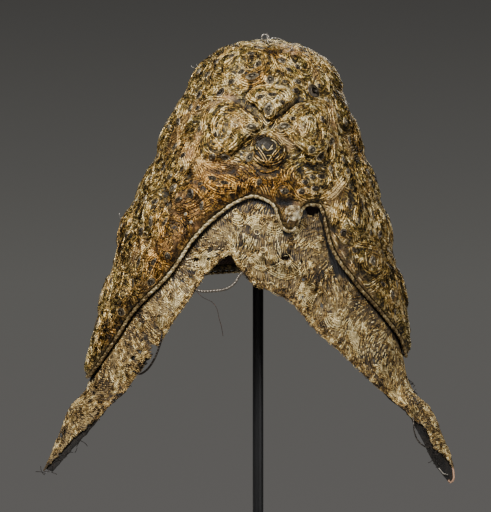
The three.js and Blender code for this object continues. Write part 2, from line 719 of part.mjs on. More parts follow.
// The lace: folds that deepen towards its lower edge, and over the brow a lower layer behind the upper.
const laceColumns = 68;
const laceFolds = 11;
const pleatPlace = { from: 0.4, to: 0.62, fade: 0.05, below: 0.64 };
const laceLift = -(crownWall + laceSeam);
function laceFaceLift(along, share) {
  const folds = (1 - Math.cos(2 * Math.PI * laceFolds * along)) / 2;
  const { from, to, fade, below } = pleatPlace;
  const starts = THREE.MathUtils.smoothstep(along, from, from + fade);
  const ends = THREE.MathUtils.smoothstep(along, to - fade, to);
  const pleat = share > below ? starts - ends : 0;
  return laceLift - laceRipple * folds * share - lacePleat * pleat;
}
function laceGeometry() {
  const front = bandGrid(laceStations, laceColumns, laceShares, laceFaceLift);
  const behind = (along, share) => laceFaceLift(along, share) - laceWall;
  return sheetGeometry(front, bandGrid(laceStations, laceColumns, laceShares, behind));
}

// The dark cloth behind a lappet, just behind the deepest folds of the lace.
const backingColumns = 14;
const backingLift = laceLift - laceRipple - laceWall - seamGap;
function backingGeometry(stations) {
  const front = bandGrid(stations, backingColumns, backingShares, () => backingLift);
  const back = bandGrid(stations, backingColumns, backingShares, () => backingLift - backingWall);
  return sheetGeometry(front, back);
}

// The stand's dome: it follows the inside of the lining over the top and has a flat underside.
const domeLift = liningLift - liningWall - domeSeam;
const domeTurns = Array.from({ length: domeColumns }, (_, i) => (360 * i) / domeColumns);
const domeRings = domeShares.map((share) => {
  return domeTurns.map((turn) => offForm(turn, share * domeSpan, domeLift));
});
const domeEdge = domeRings[domeRings.length - 1];
const domeFloor = Math.min(...domeEdge.map((point) => point.z)) - domeSkirt;
function domeGeometry() {
  const solid = new Solid();
  const rings = domeRings.map((ring) => solid.row(ring));
  const floor = solid.row(domeEdge.map((point) => new THREE.Vector3(point.x, point.y, domeFloor)));
  solid.fan(solid.corner(apexPoint(domeLift)), rings[0]);
  solid.bands([...rings, floor]);
  solid.fan(solid.corner(new THREE.Vector3(0, 0, domeFloor)), floor, true);
  return solid.geometry();
}

// The stand's post: a plain round rod from the base up to the dome.
function postGeometry() {
  const bottom = baseThickness + seamGap;
  const top = domeFloor - seamGap;
  const geometry = new THREE.CylinderGeometry(postRadius, postRadius, top - bottom, postSegments);
  geometry.rotateX(Math.PI / 2);
  geometry.translate(0, 0, (top + bottom) / 2);
  return geometry;
}

// The stand's base: a flat disc with small chamfers.
function baseGeometry() {
  const outline = [
    new THREE.Vector2(0, 0),
    new THREE.Vector2(baseRadius - baseChamfer, 0),
    new THREE.Vector2(baseRadius, baseChamfer),
    new THREE.Vector2(baseRadius, baseThickness - baseChamfer),
    new THREE.Vector2(baseRadius - baseChamfer, baseThickness),
    new THREE.Vector2(0, baseThickness),
  ];
  const geometry = new THREE.LatheGeometry(outline, roundSegments);
  geometry.rotateX(Math.PI / 2);
  return geometry;
}

// Materials: metal thread embroidery, metal lace, cloth and painted steel
const goldEmbroidery = { color: 0xa98a4a, roughness: 0.45, metalness: 0.7 };
const goldPadding = { color: 0xb39350, roughness: 0.42, metalness: 0.7 };
const darkBoss = { color: 0x5e5238, roughness: 0.5, metalness: 0.5 };
const paleCord = { color: 0xc4ab74, roughness: 0.5, metalness: 0.5 };
const silverLace = { color: 0x9c8d72, roughness: 0.5, metalness: 0.5 };
const brownLining = { color: 0x4a3524, roughness: 0.9, metalness: 0 };
const blackCloth = { color: 0x2a2320, roughness: 0.9, metalness: 0 };
const blackSteel = { color: 0x0e0e10, roughness: 0.45, metalness: 0.2 };

const headdress = new THREE.Group();
function addPiece(name, geometry, finish) {
  const mesh = new THREE.Mesh(geometry, new THREE.MeshStandardMaterial(finish));
  mesh.name = name;
  headdress.add(mesh);
}

addPiece("crown", crownGeometry(), goldEmbroidery);
for (const name of ["petal_top", "petal_left", "petal_right"]) {
  addPiece(name, petalGeometry(petals[name], petalRelief, petalRise), goldPadding);
}
addPiece("centre_boss", petalGeometry(petals.centre_boss, bossRelief, bossRise), darkBoss);
addPiece("edge_piping", pipingGeometry(), paleCord);
addPiece("lace_border", laceGeometry(), silverLace);
addPiece("lining", liningGeometry(), brownLining);
addPiece("lappet_backing_left", backingGeometry(leftBackingStations), blackCloth);
addPiece("lappet_backing_right", backingGeometry(rightBackingStations), blackCloth);
addPiece("stand_dome", domeGeometry(), blackCloth);
addPiece("stand_post", postGeometry(), blackSteel);
addPiece("stand_base", baseGeometry(), blackSteel);

export default headdress;
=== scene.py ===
"""Looks of an old cap of padded gold embroidery with lace lappets, on its display stand.

Sizes and places are in millimetres until put() turns them into metres. A place on the cap is a pair:
turn, in degrees round it, 0 at the front and 90 at +X, and run, the way from the apex down its form.
"""

# %% [markdown]
# # A cap of padded gold embroidery
# The cap is a quilted shell that is covered all over in couched gold cord, short coils of wire and small
# dark eyes. A lace band is sewn under its arched hem and hangs down as two long points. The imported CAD
# model gives the frame: each piece below stands where its solid stands.

import bpy
import numpy as np
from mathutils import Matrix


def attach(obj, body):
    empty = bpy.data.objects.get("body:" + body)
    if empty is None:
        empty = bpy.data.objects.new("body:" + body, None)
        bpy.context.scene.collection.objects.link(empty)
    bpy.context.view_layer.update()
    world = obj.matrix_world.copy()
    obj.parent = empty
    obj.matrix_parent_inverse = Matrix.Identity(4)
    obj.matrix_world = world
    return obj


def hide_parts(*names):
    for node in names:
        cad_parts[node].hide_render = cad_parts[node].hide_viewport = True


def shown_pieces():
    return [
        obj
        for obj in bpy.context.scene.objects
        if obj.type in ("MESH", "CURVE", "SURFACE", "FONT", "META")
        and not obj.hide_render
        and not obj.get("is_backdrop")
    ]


MM = 0.001
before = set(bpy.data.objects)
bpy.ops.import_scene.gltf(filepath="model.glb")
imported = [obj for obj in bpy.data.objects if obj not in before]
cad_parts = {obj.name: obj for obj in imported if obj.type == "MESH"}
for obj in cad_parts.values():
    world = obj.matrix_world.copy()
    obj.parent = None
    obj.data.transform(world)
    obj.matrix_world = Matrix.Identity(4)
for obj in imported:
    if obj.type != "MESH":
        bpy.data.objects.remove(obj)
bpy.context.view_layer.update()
print("CAD nodes:", sorted(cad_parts))

# %% [markdown]
# ## The camera
# The photograph is taken level, from far away with a long lens, so the cap shows almost no perspective.
# One pixel is 0.75 mm at the post. The same numbers serve later to find where a pixel's line of sight
# meets the cap, so ornament that is seen in the photograph can be placed by its pixel.

# %% Set up the camera
photo_width, photo_height, pixel_size = 491, 512, 0.75
camera_place = np.array([-9.4, -2000.0, 222.0])
camera_data = bpy.data.cameras.new("photo_camera")
camera_data.lens = 187.5
camera_data.sensor_width = 36
camera = bpy.data.objects.new("photo_camera", camera_data)
camera.location = camera_place * MM
camera.rotation_euler = (np.pi / 2, 0, 0)
bpy.context.scene.collection.objects.link(camera)
bpy.context.scene.camera = camera


def on_photo(points):
    """The pixel at which each point shows: its distance from the camera's axis, less the further it is."""
    spread = pixel_size * (points[..., 1] - camera_place[1]) / -camera_place[1]
    x = photo_width / 2 + (points[..., 0] - camera_place[0]) / spread
    y = photo_height / 2 - (points[..., 2] - camera_place[2]) / spread
    return np.stack([x, y], -1)


print("camera at", camera_place, "mm")

# %% [markdown]
# ## The form of the cap
# Everything is sewn to one form: an oval whose half width, front depth and back depth change on the way
# down. The tables are the CAD source's own. A curve through each column gives the form at any height, so
# a place is worked out for whole arrays of turns and runs at once.

# %% Curves that never overshoot their points
def smooth_curve(xs, ys, first_slope=None):
    """A cubic between each two points, whose slope at a point is the harmonic mean of those beside it."""
    xs, ys = np.asarray(xs, float), np.asarray(ys, float)
    chords = np.diff(ys) / np.diff(xs)
    slopes = np.concatenate([chords[:1], np.zeros(len(xs) - 2), chords[-1:]])
    before, after = chords[:-1], chords[1:]
    same = before * after > 0
    slopes[1:-1] = np.where(same, 2 * before * after / np.where(same, before + after, 1), 0)
    slopes[0] = slopes[0] if first_slope is None else first_slope

    def at(x):
        i = np.clip(np.searchsorted(xs, x, side="right") - 1, 0, len(xs) - 2)
        span = xs[i + 1] - xs[i]
        s = np.clip((x - xs[i]) / span, 0, 1)
        rise = ys[i + 1] - ys[i]
        start, end = slopes[i] * span, slopes[i + 1] * span
        return ys[i] + s * (start + s * (3 * rise - 2 * start - end + s * (start + end - 2 * rise)))

    return at


def fade(x, low, high):
    """0 below low, 1 above high, and 3s2 - 2s3 between them."""
    s = np.clip((x - low) / (high - low), 0, 1)
    return s * s * (3 - 2 * s)


# %% Angles, directions and lengths
def circle(count):
    """The angles of even steps round a circle, in radians."""
    return 2 * np.pi * np.arange(count) / count


def unit(vectors):
    """Each vector divided by its own length."""
    return vectors / np.maximum(np.linalg.norm(vectors, axis=-1, keepdims=True), 1e-9)


def rotated(x, y, angle):
    """(x cos a - y sin a, x sin a + y cos a)."""
    cos, sin = np.cos(angle), np.sin(angle)
    return x * cos - y * sin, x * sin + y * cos


def lengths_along(points):
    """At each point of a line, its length up to there."""
    return np.concatenate([[0], np.cumsum(np.linalg.norm(np.diff(points, axis=0), axis=-1))])


# %% The form's table and the place of a point on it
apex_height, crown_height, lappet_length = 384, 251, 80
crown_half_width, crown_front, crown_back = 125, 90, 107
# down, half and lean as shares of the half width, front and back as shares of their depths
levels = np.array([
    [0, 0, 0.04, 0, 0],
    [0.012, 0.16, 0.04, 0.222, 0.196],
    [0.032, 0.28, 0.04, 0.378, 0.346],
    [0.06, 0.345, 0.044, 0.467, 0.439],
    [0.12, 0.432, 0.04, 0.6, 0.579],
    [0.18, 0.488, 0.032, 0.689, 0.682],
    [0.24, 0.54, 0.02, 0.767, 0.766],
    [0.3, 0.584, 0.014, 0.833, 0.841],
    [0.36, 0.63, 0.014, 0.889, 0.897],
    [0.42, 0.676, 0.008, 0.933, 0.944],
    [0.48, 0.734, -0.004, 0.967, 0.972],
    [0.54, 0.784, -0.016, 0.989, 0.991],
    [0.6, 0.81, -0.02, 1, 1],
    [0.66, 0.836, -0.02, 1, 1],
    [0.72, 0.87, -0.022, 0.989, 0.981],
    [0.78, 0.904, -0.024, 0.978, 0.963],
    [0.84, 0.93, -0.03, 0.956, 0.935],
    [0.9, 0.955, -0.044, 0.933, 0.907],
    [1, 1, -0.056, 0.889, 0.841],
    [1.49, 1.16, -0.048, 0.844, 0.822],
    [2, 1.328, -0.048, 0.778, 0.8],
])


def drop_at(down):
    """Millimetres below the apex: down counts the crown's height up to 1 and the lappet's beyond it."""
    return np.minimum(down, 1) * crown_height + np.maximum(down - 1, 0) * lappet_length


level_drop = drop_at(levels[:, 0])
level_half = levels[:, 1] * crown_half_width
level_run = lengths_along(np.stack([level_half, level_drop], -1))
full_run = level_run[-1]
drop_of = smooth_curve(level_run, level_drop, 0)
half_of = smooth_curve(level_run, level_half)
lean_of = smooth_curve(level_run, levels[:, 2] * crown_half_width, 0)
front_of = smooth_curve(level_run, levels[:, 3] * crown_front)
back_of = smooth_curve(level_run, levels[:, 4] * crown_back)
fine_run = np.linspace(0, full_run, 8001)
fine_drop = drop_of(fine_run)


def run_at(down):
    """The run at which the profile has dropped to a level."""
    return np.interp(drop_at(np.asarray(down, float)), fine_drop, fine_run)


def on_form(turn, run):
    """x is lean + half sin(turn), y is -depth cos(turn) with the front's or the back's depth, z the drop."""
    angle = np.radians(turn)
    ahead = np.cos(angle)
    depth = np.where(ahead >= 0, front_of(run), back_of(run))
    x = lean_of(run) + half_of(run) * np.sin(angle)
    return np.stack([x, -depth * ahead, apex_height - drop_of(run)], -1)


def outward(turn, run):
    """The unit cross product of two short steps, down the form and round it."""
    at = np.clip(run, 1, full_run - 0.5)
    across = on_form(turn + 0.5, at) - on_form(turn - 0.5, at)
    down = on_form(turn, at + 0.5) - on_form(turn, at - 0.5)
    return unit(np.cross(down, across))


def off_form(turn, run, lift):
    """A point that stands off the form by lift."""
    lift = np.broadcast_to(lift, np.broadcast(turn, run).shape)
    return on_form(turn, run) + outward(turn, run) * lift[..., None]


print("the profile is", round(float(full_run)), "mm long from the apex to the lappet points")

# %% [markdown]
# ## Where a pixel meets the cap
# To place ornament by a pixel of the photograph, its line of sight is followed to the form. The form's
# front is laid out as a grid, the nearest of its points gives a first guess, and a few Newton steps make
# it exact.

# %% Follow a line of sight to the form
def sight(shown, starts, nudge, low, high):
    """A function that finds places by their pixels. From the start whose pixel is nearest it goes
    p + J^-1 (target - shown at p), six times, with J from a nudge along each of a place's two numbers."""
    start_pixel, nudge = shown(starts), np.array(nudge)

    def seen(pixels):
        pixels = np.asarray(pixels, float).reshape(-1, 2)
        nearest = ((start_pixel[None] - pixels[:, None]) ** 2).sum(-1).argmin(1)
        place = starts[nearest].copy()
        for _ in range(6):
            here = shown(place)
            jacobian = np.stack([shown(place + nudge * unit) - here for unit in np.eye(2)], -1)
            step = np.linalg.solve(jacobian + 1e-6 * np.eye(2), (pixels - here)[..., None])[..., 0]
            place = np.clip(place + np.clip(step, -10, 10) * nudge, low, high)
        return place

    return seen


form_starts = np.stack(np.meshgrid(np.linspace(-86, 86, 173), np.linspace(4, full_run, 220)), -1)
seen_at = sight(lambda p: on_photo(off_form(*p.T, 1.5)), form_starts.reshape(-1, 2), (0.3, 0.3), (-89, 2),
                (89, full_run))
print("the photograph's middle meets the cap at", seen_at([[245, 150]]).round(1))

# %% [markdown]
# ## The hems
# The crown ends in an arch over the brow, a small tab at its middle and a pointed flap over each ear. The
# lining stops behind it. Both hems are tables of how far down they come at each turn, as in the CAD
# source.

# %% How far down the crown and the lining come
crown_hem = np.array([
    [-180, 0.689], [-150, 0.701], [-130, 0.753], [-112, 0.873], [-100, 0.96], [-89, 0.994],
    [-80.5, 0.99], [-71.2, 0.955], [-63.3, 0.899], [-55.3, 0.812], [-47.4, 0.756], [-39.1, 0.702],
    [-28, 0.589], [-18.2, 0.52], [-11, 0.482], [-2.6, 0.464], [5.2, 0.479], [9.4, 0.503],
    [11.1, 0.535], [12.9, 0.56], [14.8, 0.566], [17, 0.555], [18.9, 0.523], [20.6, 0.501],
    [24.7, 0.488], [30, 0.489], [32.4, 0.51], [33.8, 0.57], [35.3, 0.616], [38, 0.652],
    [42.7, 0.693], [47.7, 0.737], [56.4, 0.792], [64.2, 0.835], [77.3, 0.888], [88, 0.935],
    [100, 0.932], [112, 0.873], [130, 0.761], [150, 0.701], [180, 0.689],
])
lining_hem = np.array([
    [-180, 0.669], [-150, 0.681], [-130, 0.729], [-112, 0.845], [-100, 0.895], [-88, 0.905],
    [-75, 0.865], [-66, 0.815], [-58, 0.757], [-50, 0.7], [-42, 0.649], [-33, 0.566],
    [-24, 0.498], [-14, 0.45], [-4, 0.418], [5, 0.414], [15, 0.41], [25, 0.422],
    [32, 0.432], [37, 0.462], [42, 0.534], [50, 0.64], [58, 0.705], [66, 0.757],
    [75, 0.805], [88, 0.857], [100, 0.876], [112, 0.833], [130, 0.737], [150, 0.681], [180, 0.669],
])


def hem_run(rows):
    """The hem's run as a curve of the turn, which is brought back to -180 to 180 first."""
    curve = smooth_curve(rows[:, 0], run_at(rows[:, 1]), 0)
    return lambda turn: curve(np.mod(turn + 180, 360) - 180)


hem_at, lining_hem_at = hem_run(crown_hem), hem_run(lining_hem)
print("the crown's hem is from", round(float(hem_at(np.array(-2.6)))), "to",
      round(float(hem_at(np.array(-89.0)))), "mm down the form")

# %% [markdown]
# ## The padding
# Under the gold lies padding, laid in mounds: one under each motif, four large petals at the front, and
# long ridges that frame them. The maker cut felt or cord to shape, sewed it down and embroidered over it.
# Here each mound is a smooth bump, and all of them are summed into one relief table over turn and run, so
# the ground cloth, the cords and the eyes all read the same height.

# %% The mounds under the motifs
lump_size, lump_rise = 16, 2.6
# turn, down, then width, height, tilt in degrees and rise as shares of the lump's
front_motifs = np.array([
    [-13.9, 0.075, 1.1, 1, 0, 1.1], [31, 0.08, 0.8, 1.2, 30, 0.9], [47, 0.143, 0.8, 0.9, 0, 1],
    [-38, 0.075, 0.8, 0.9, 0, 0.7], [-58, 0.14, 0.9, 0.9, 0, 0.9], [-70, 0.22, 0.9, 1, 0, 1],
    [66, 0.22, 0.9, 1, 0, 0.8], [-49, 0.382, 0.7, 1.3, -20, 1], [-33.5, 0.47, 1, 0.9, 20, 1],
    [-17, 0.44, 1.2, 0.7, -25, 1], [28, 0.425, 1, 0.7, 0, 1], [47, 0.4, 0.7, 1.3, 10, 1],
    [-53, 0.52, 0.9, 1.2, 10, 1.1], [-38.2, 0.6, 0.9, 1, 30, 1], [-49, 0.68, 1, 1, 35, 1.1],
    [-64, 0.62, 0.9, 1.2, 10, 1], [-60, 0.8, 1, 1.1, 35, 1.1], [-74, 0.86, 0.9, 1.2, 10, 1],
    [47, 0.53, 0.9, 1.2, -10, 1.1], [53, 0.655, 1, 1, -30, 1], [67, 0.73, 1, 1.1, -25, 1.1],
])
# down, first turn, last turn and how many, for the rows over the sides and the back
motif_rows = [
    (0.1, 80, 290, 6), (0.28, 84, 272, 8), (0.42, 68, 290, 11), (0.56, 72, 282, 11), (0.74, 86, 120, 3),
    (0.76, 244, 274, 3),
]
row_motifs = np.concatenate([
    np.stack(np.broadcast_arrays(np.linspace(first, last, count), down, 1, 1, 0, 1), -1)
    for down, first, last, count in motif_rows
])
motifs = np.concatenate([front_motifs, row_motifs])
motif_turn, motif_run = motifs[:, 0], run_at(motifs[:, 1])
motif_wide, motif_tall = motifs[:, 2] * lump_size, motifs[:, 3] * lump_size
motif_tilt, motif_rise = np.radians(motifs[:, 4]), motifs[:, 5] * lump_rise


def offset_from(turn, run, place_turn, place_run):
    """How far (turn, run) lies across and up from a place: across is the half width times the turn left."""
    gap = np.mod(turn - place_turn + 180, 360) - 180
    return np.radians(gap) * half_of(run), place_run - run


def besides(place_turn, place_run, across, up):
    """The place that lies across and up from another one."""
    run = np.maximum(place_run - up, 0.5)
    return place_turn + np.degrees(across / np.maximum(half_of(run), 6)), run


def motif_reach(turn, run):
    """Distance from each motif's middle as a share of its own oval, with the offsets turned by its tilt."""
    turn, run = np.asarray(turn)[..., None], np.asarray(run)[..., None]
    along, over = rotated(*offset_from(turn, run, motif_turn, motif_run), -motif_tilt)
    return np.hypot(along / motif_wide, over / motif_tall)


print(len(motifs), "motifs, of which", len(front_motifs), "at the front")

# %% The four petals of the middle motif
petal_reach, petal_rise, boss_rise, petal_seam = 52, 5.5, 8, 0.45
crossing_turn, crossing_run = 4.3, float(run_at(0.262))
# each outline as shares of the reach, across and up from the crossing: first its middle, then its edge
petals = {
    "petal_top": [
        [0.01, 0.3], [0.1, 0.14], [0.2, 0.25], [0.34, 0.4], [0.22, 0.53], [0, 0.57], [-0.22, 0.52],
        [-0.33, 0.39], [-0.19, 0.24], [-0.1, 0.14], [0, 0.03],
    ],
    "petal_left": [
        [-0.56, -0.12], [-0.08, -0.03], [-0.21, 0.1], [-0.36, 0.24], [-0.62, 0.31], [-0.85, 0.16],
        [-0.91, -0.06], [-0.98, -0.31], [-0.92, -0.5], [-0.73, -0.58], [-0.5, -0.46], [-0.34, -0.3],
        [-0.21, -0.15],
    ],
    "petal_right": [
        [0.52, -0.1], [0.85, -0.02], [0.85, 0.18], [0.66, 0.34], [0.41, 0.29], [0.22, 0.12],
        [0.08, 0], [0.18, -0.12], [0.28, -0.24], [0.42, -0.4], [0.56, -0.5], [0.78, -0.48],
        [0.9, -0.28],
    ],
    "centre_boss": [
        [-0.01, -0.41], [0.24, -0.41], [0.17, -0.24], [-0.01, -0.16], [-0.19, -0.24], [-0.26, -0.41],
        [-0.19, -0.59], [-0.01, -0.66], [0.17, -0.59],
    ],
}
petal_profile = smooth_curve([0, 0.28, 0.5, 0.7, 0.88, 1], [0.85, 1, 0.7, 0.95, 0.75, 0.2])
boss_profile = smooth_curve([0, 0.3, 0.55, 0.78, 1], [1, 0.96, 0.84, 0.6, 0.15])


def petal_outline(name):
    """A petal's middle in mm, and its reach at each angle as a smooth closed curve through its edge."""
    points = np.array(petals[name]) * petal_reach
    offsets = points[1:] - points[0]
    angles = np.mod(np.arctan2(offsets[:, 1], offsets[:, 0]), 2 * np.pi)
    order = np.argsort(angles)
    angles, reaches = angles[order], np.hypot(*offsets.T)[order]
    closed_angles = np.concatenate([[angles[-1] - 2 * np.pi], angles, [angles[0] + 2 * np.pi]])
    curve = smooth_curve(closed_angles, np.concatenate([[reaches[-1]], reaches, [reaches[0]]]))
    return points[0], lambda angle: curve(np.mod(angle, 2 * np.pi))


def petal_place(name, out, angle):
    """The place on the form at a share out towards the petal's edge, in a direction from its middle."""
    middle, outline = petal_outline(name)
    reach = out * outline(angle)
    across, up = middle[0] + reach * np.cos(angle), middle[1] + reach * np.sin(angle)
    return besides(crossing_turn, crossing_run, across, up)


def petal_lift(name, out):
    """The height of a petal's face over the crown's: its seam and its profile's share of its rise."""
    profile, rise = (boss_profile, boss_rise) if name == "centre_boss" else (petal_profile, petal_rise)
    return petal_seam + rise * profile(np.minimum(out, 1))


print("petals:", ", ".join(petals))

# %% [markdown]
# ## What the photograph shows on the front
# The tables below are read off the photograph, in its pixels: long padded ridges, dark hollows, patches
# where the gold is worn down to pinkish silk, and the flat strip of cloth inside the right hem. Each one
# is laid over the form as a soft spot or a soft line. The hollows and creases are sunk into the relief,
# and their darkness is painted shade.

# %% Ridges, hollows, worn places and stains
# width and rise in mm, then x and y of each pixel along the ridge
front_ridges = [
    (5, 2.2, 320, 101, 331, 109, 333, 122, 331, 134, 335, 147, 334, 158, 331, 170),
    (4, 1.8, 200, 135, 194, 143, 189, 152, 188, 160, 190, 168),
    (4, 1.5, 343, 173, 339, 186, 330, 197, 318, 203),
    (5, 2.0, 197, 160, 205, 172, 220, 184, 236, 186),
    (4, 1.6, 213, 103, 205, 113, 203, 125, 207, 136),
    (4, 1.6, 194, 102, 206, 97, 220, 97),
    (4, 1.8, 192, 186, 201, 194, 205, 201, 206, 210, 201, 217),
    (5, 2.0, 357, 178, 356, 198, 352, 218, 351, 232),
    (5, 2.0, 151, 189, 153, 205, 157, 222, 155, 238),
    (4, 1.6, 140, 234, 145, 246, 148, 262, 146, 278),
    (4, 1.6, 122, 262, 124, 278, 121, 292, 116, 306),
    (5, 2.2, 352, 232, 366, 244, 379, 256, 384, 272, 377, 282),
    (4, 1.6, 103, 318, 99, 332, 96, 344),
    (5, 1.8, 368, 292, 380, 303, 391, 318, 398, 332),
]
# x, y, radius in pixels and depth in mm
front_hollows = [
    (279.5, 201.5, 4.5, 2.2), (285.5, 202, 4.5, 2.2), (291.5, 203, 4.5, 2.2), (309, 211, 4, 4.0),
    (315, 212, 4, 4.0), (299, 100, 5, 1.6), (293, 106, 3, 1.2), (187, 175, 4, 1.6), (165.5, 193, 4, 1.8),
    (169, 203, 4, 1.8), (336, 229, 5, 1.8), (342, 247, 4, 2.0), (350, 261, 4, 2.0), (360, 275, 4, 2.0),
    (371, 279, 4, 1.6), (355, 192, 3, 1.5), (354, 184, 3, 1.5), (358, 210, 3, 1.4), (171, 130, 4, 1.6),
    (132, 236, 4, 1.6), (320, 200, 3, 1.4), (388, 262, 3, 1.2), (384, 212, 3, 1.2), (118, 296, 3, 1.2),
    (232, 170, 4, 1.6), (302, 171, 4, 1.4),
]
# width and depth in mm, then x and y of each pixel along the dark crease
front_creases = [
    (2.8, 1.6, 231, 97, 241, 106, 250, 114, 262, 125),
    (2.2, 1.4, 300, 99, 290, 109, 280, 118, 271, 126),
    (2.0, 1.2, 262, 134, 254, 141, 245, 148),
    (1.4, 1.0, 252, 165, 260, 172, 268, 174.5, 277, 172, 284, 164),
    (1.8, 1.2, 203, 167, 214, 172.5, 227, 172, 237, 166),
    (1.8, 1.4, 303, 163, 312, 167.5, 322, 166, 330, 160),
    (1.5, 2.2, 334, 226, 341, 240, 350, 253, 361, 269, 372, 282, 382, 293),
    (1.6, 1.4, 166, 180, 163, 194, 168, 207, 178, 214),
    (1.6, 1.2, 184, 171, 190, 180, 199, 185),
    (1.6, 1.2, 128, 238, 130, 252, 126, 266, 119, 282),
    (1.6, 1.2, 351, 178, 350, 196, 347, 214),
    (1.6, 1.2, 387, 254, 391, 268, 392, 284),
]
# x, y, radius in pixels and how worn from 0 to 1
front_worn = [
    (188, 155, 9, 1.0), (198, 136, 7, 0.9), (227, 96, 5, 0.8), (279, 140, 7, 0.9), (290, 146, 6, 0.7),
    (291, 52, 6, 0.8), (331, 108, 6, 0.9), (332, 124, 7, 0.9), (333, 142, 6, 0.9), (333, 198, 8, 0.8),
    (341, 189, 6, 0.8), (328, 210, 7, 0.3), (240, 122, 9, 0.7), (298, 131, 7, 0.8), (197, 210, 9, 0.6),
    (168, 246, 7, 0.5), (142, 243, 6, 0.6), (156, 249, 6, 0.6), (196, 188, 5, 0.6), (296, 212, 8, 1.2),
    (343, 251, 7, 0.7), (352, 268, 7, 0.7), (362, 283, 7, 0.6), (372, 297, 6, 0.6), (333, 236, 6, 0.6),
    (374, 258, 9, 0.5), (345, 235, 6, 0.4), (143, 285, 6, 0.5), (120, 335, 7, 0.5), (179, 237, 4, 0.9),
    (195, 229, 4, 0.9),
]
# x, y, radius in pixels of the orange stain
front_stain = [
    (215, 185, 28), (250, 192, 22), (180, 235, 30), (165, 270, 26), (272, 52, 9), (255, 76, 12),
    (140, 320, 26), (280, 190, 16), (204, 205, 26), (110, 340, 18),
]

# x, y, half width and half height in pixels, tilt in degrees, roundness (2 oval, 1.3 diamond) and tone
front_eyes = [
    (252, 75.5, 6.5, 4, 10, 1.7, 0.6), (241, 71, 3.5, 2.6, 30, 2, 0.35), (258.5, 64, 3.6, 2.4, 50, 2, 0.4),
    (251.5, 55.5, 3.4, 2.4, 0, 2, 0.35), (260, 49.5, 4.5, 1.8, -8, 2, 0.4),
    (282, 60, 4.5, 3, -40, 1.6, 0.45), (289, 69, 3.6, 2.4, -40, 1.6, 0.3),
    (297.5, 67, 3, 2.4, -50, 1.7, 0.3), (270, 79, 4, 4.6, 0, 2, 0.55), (285, 81, 2.6, 2.2, 0, 2, 0.4),
    (298, 81, 3.6, 2.8, -20, 2, 0.5), (296, 90, 3.4, 2.8, 0, 2, 0.2), (314.5, 90.5, 6.5, 7, 20, 2, 0.15),
    (231, 81, 3.4, 3, 0, 2, 0.4), (199, 95, 3.6, 5, 20, 2, 0.3), (217, 62, 3, 4, -30, 1.7, 0.35),
    (208, 75, 2.6, 4, -20, 1.7, 0.35), (232, 57, 3, 2.4, 30, 2, 0.4), (306, 56, 3.6, 2, -30, 1.7, 0.35),
    (320, 68, 2.4, 3.6, 20, 1.7, 0.3), (335, 96, 2.4, 4, 15, 1.7, 0.3), (190, 107, 3, 4.4, 20, 2, 0.3),
    (178, 122, 2.6, 4.4, 15, 2, 0.3), (268, 111.5, 4, 6.4, 0, 1.5, 0.75), (260.5, 99.5, 4, 2.6, 20, 2, 0.35),
    (271.5, 97.5, 4, 2.4, 0, 2, 0.35), (281, 104.5, 3, 2.4, -30, 2, 0.4),
    (251, 128.6, 5.2, 2.7, 0, 1.6, 0.75), (283, 128, 6.2, 3, -6, 1.6, 0.8), (226, 158, 4, 2.4, 15, 2, 0.35),
    (213, 158.5, 4.4, 2.8, 10, 2, 0.35), (309.5, 151.5, 3.2, 3, 0, 2, 0.4),
    (321, 156.5, 5, 3.4, 30, 2, 0.15), (291, 121, 2.6, 1.8, 0, 2, 0.3), (219, 127, 1.8, 3, 0, 2, 0.2),
    (218, 137, 1.8, 3, 15, 2, 0.2), (319, 122, 1.8, 4, 0, 2, 0.1), (213, 178.6, 4.6, 2.8, -20, 1.6, 0.35),
    (225, 183, 4.6, 2.6, -18, 1.6, 0.35), (192, 194.5, 3.6, 6, 35, 1.5, 0.25),
    (180, 200, 4.2, 2.6, 15, 1.7, 0.25), (201, 184.5, 2.4, 2.6, 0, 2, 0.3), (172, 187.5, 4.4, 4, 20, 2, 0.6),
    (185, 214, 1.7, 1.7, 0, 2, 1.5), (190.5, 222, 1.7, 1.7, 0, 2, 1.5), (153, 222, 3, 5, 5, 1.8, 0.45),
    (331, 169.5, 2.8, 5, 5, 1.3, 0.55), (321.5, 176.5, 4, 2.8, -10, 2, 0.2), (305.5, 182, 3, 3, 0, 2, 0.3),
    (285, 191, 4.2, 3.4, 0, 2, 0.35), (302, 191, 3.4, 3.4, 0, 2, 0.35), (315, 188.5, 3.6, 3, 0, 2, 0.15),
    (313, 177, 3, 3, 0, 2, 0.35), (259, 182, 2.6, 4, 0, 1.6, 0.35), (348, 205, 2.6, 6, -10, 1.6, 0.3),
    (360, 205, 2.6, 6, -5, 1.6, 0.3), (374, 215, 2.4, 5, -15, 1.6, 0.3), (371, 261, 4, 4.6, 0, 2, 0.55),
    (380, 235, 2.8, 4.4, -15, 1.7, 0.3), (355, 250, 3.4, 2.8, -30, 2, 0.25),
    (391, 295, 2.6, 4.6, -10, 1.7, 0.3), (396, 312, 2.4, 4, -10, 1.7, 0.3),
    (383, 284, 3.4, 2.6, -30, 2, 0.3), (141, 262, 2.6, 5, -10, 1.7, 0.35),
    (133, 283, 2.6, 4.6, -15, 1.7, 0.3), (155, 262, 2.4, 4, -15, 1.7, 0.35),
    (121, 312, 2.6, 4.4, -20, 1.7, 0.3), (168, 256, 3, 3.4, 0, 2, 0.3), (109, 322, 2.2, 4, -15, 1.7, 0.3),
    (165, 222, 2.6, 4.4, 0, 1.7, 0.35), (147, 205, 2, 4.4, 0, 1.7, 0.35), (364, 150, 2, 4.4, -10, 1.7, 0.3),
    (350, 140, 2.4, 4, -10, 1.7, 0.35), (345, 122, 2.4, 4, -10, 1.7, 0.35),
    (342, 160, 2.4, 3.6, -10, 1.7, 0.35),
]

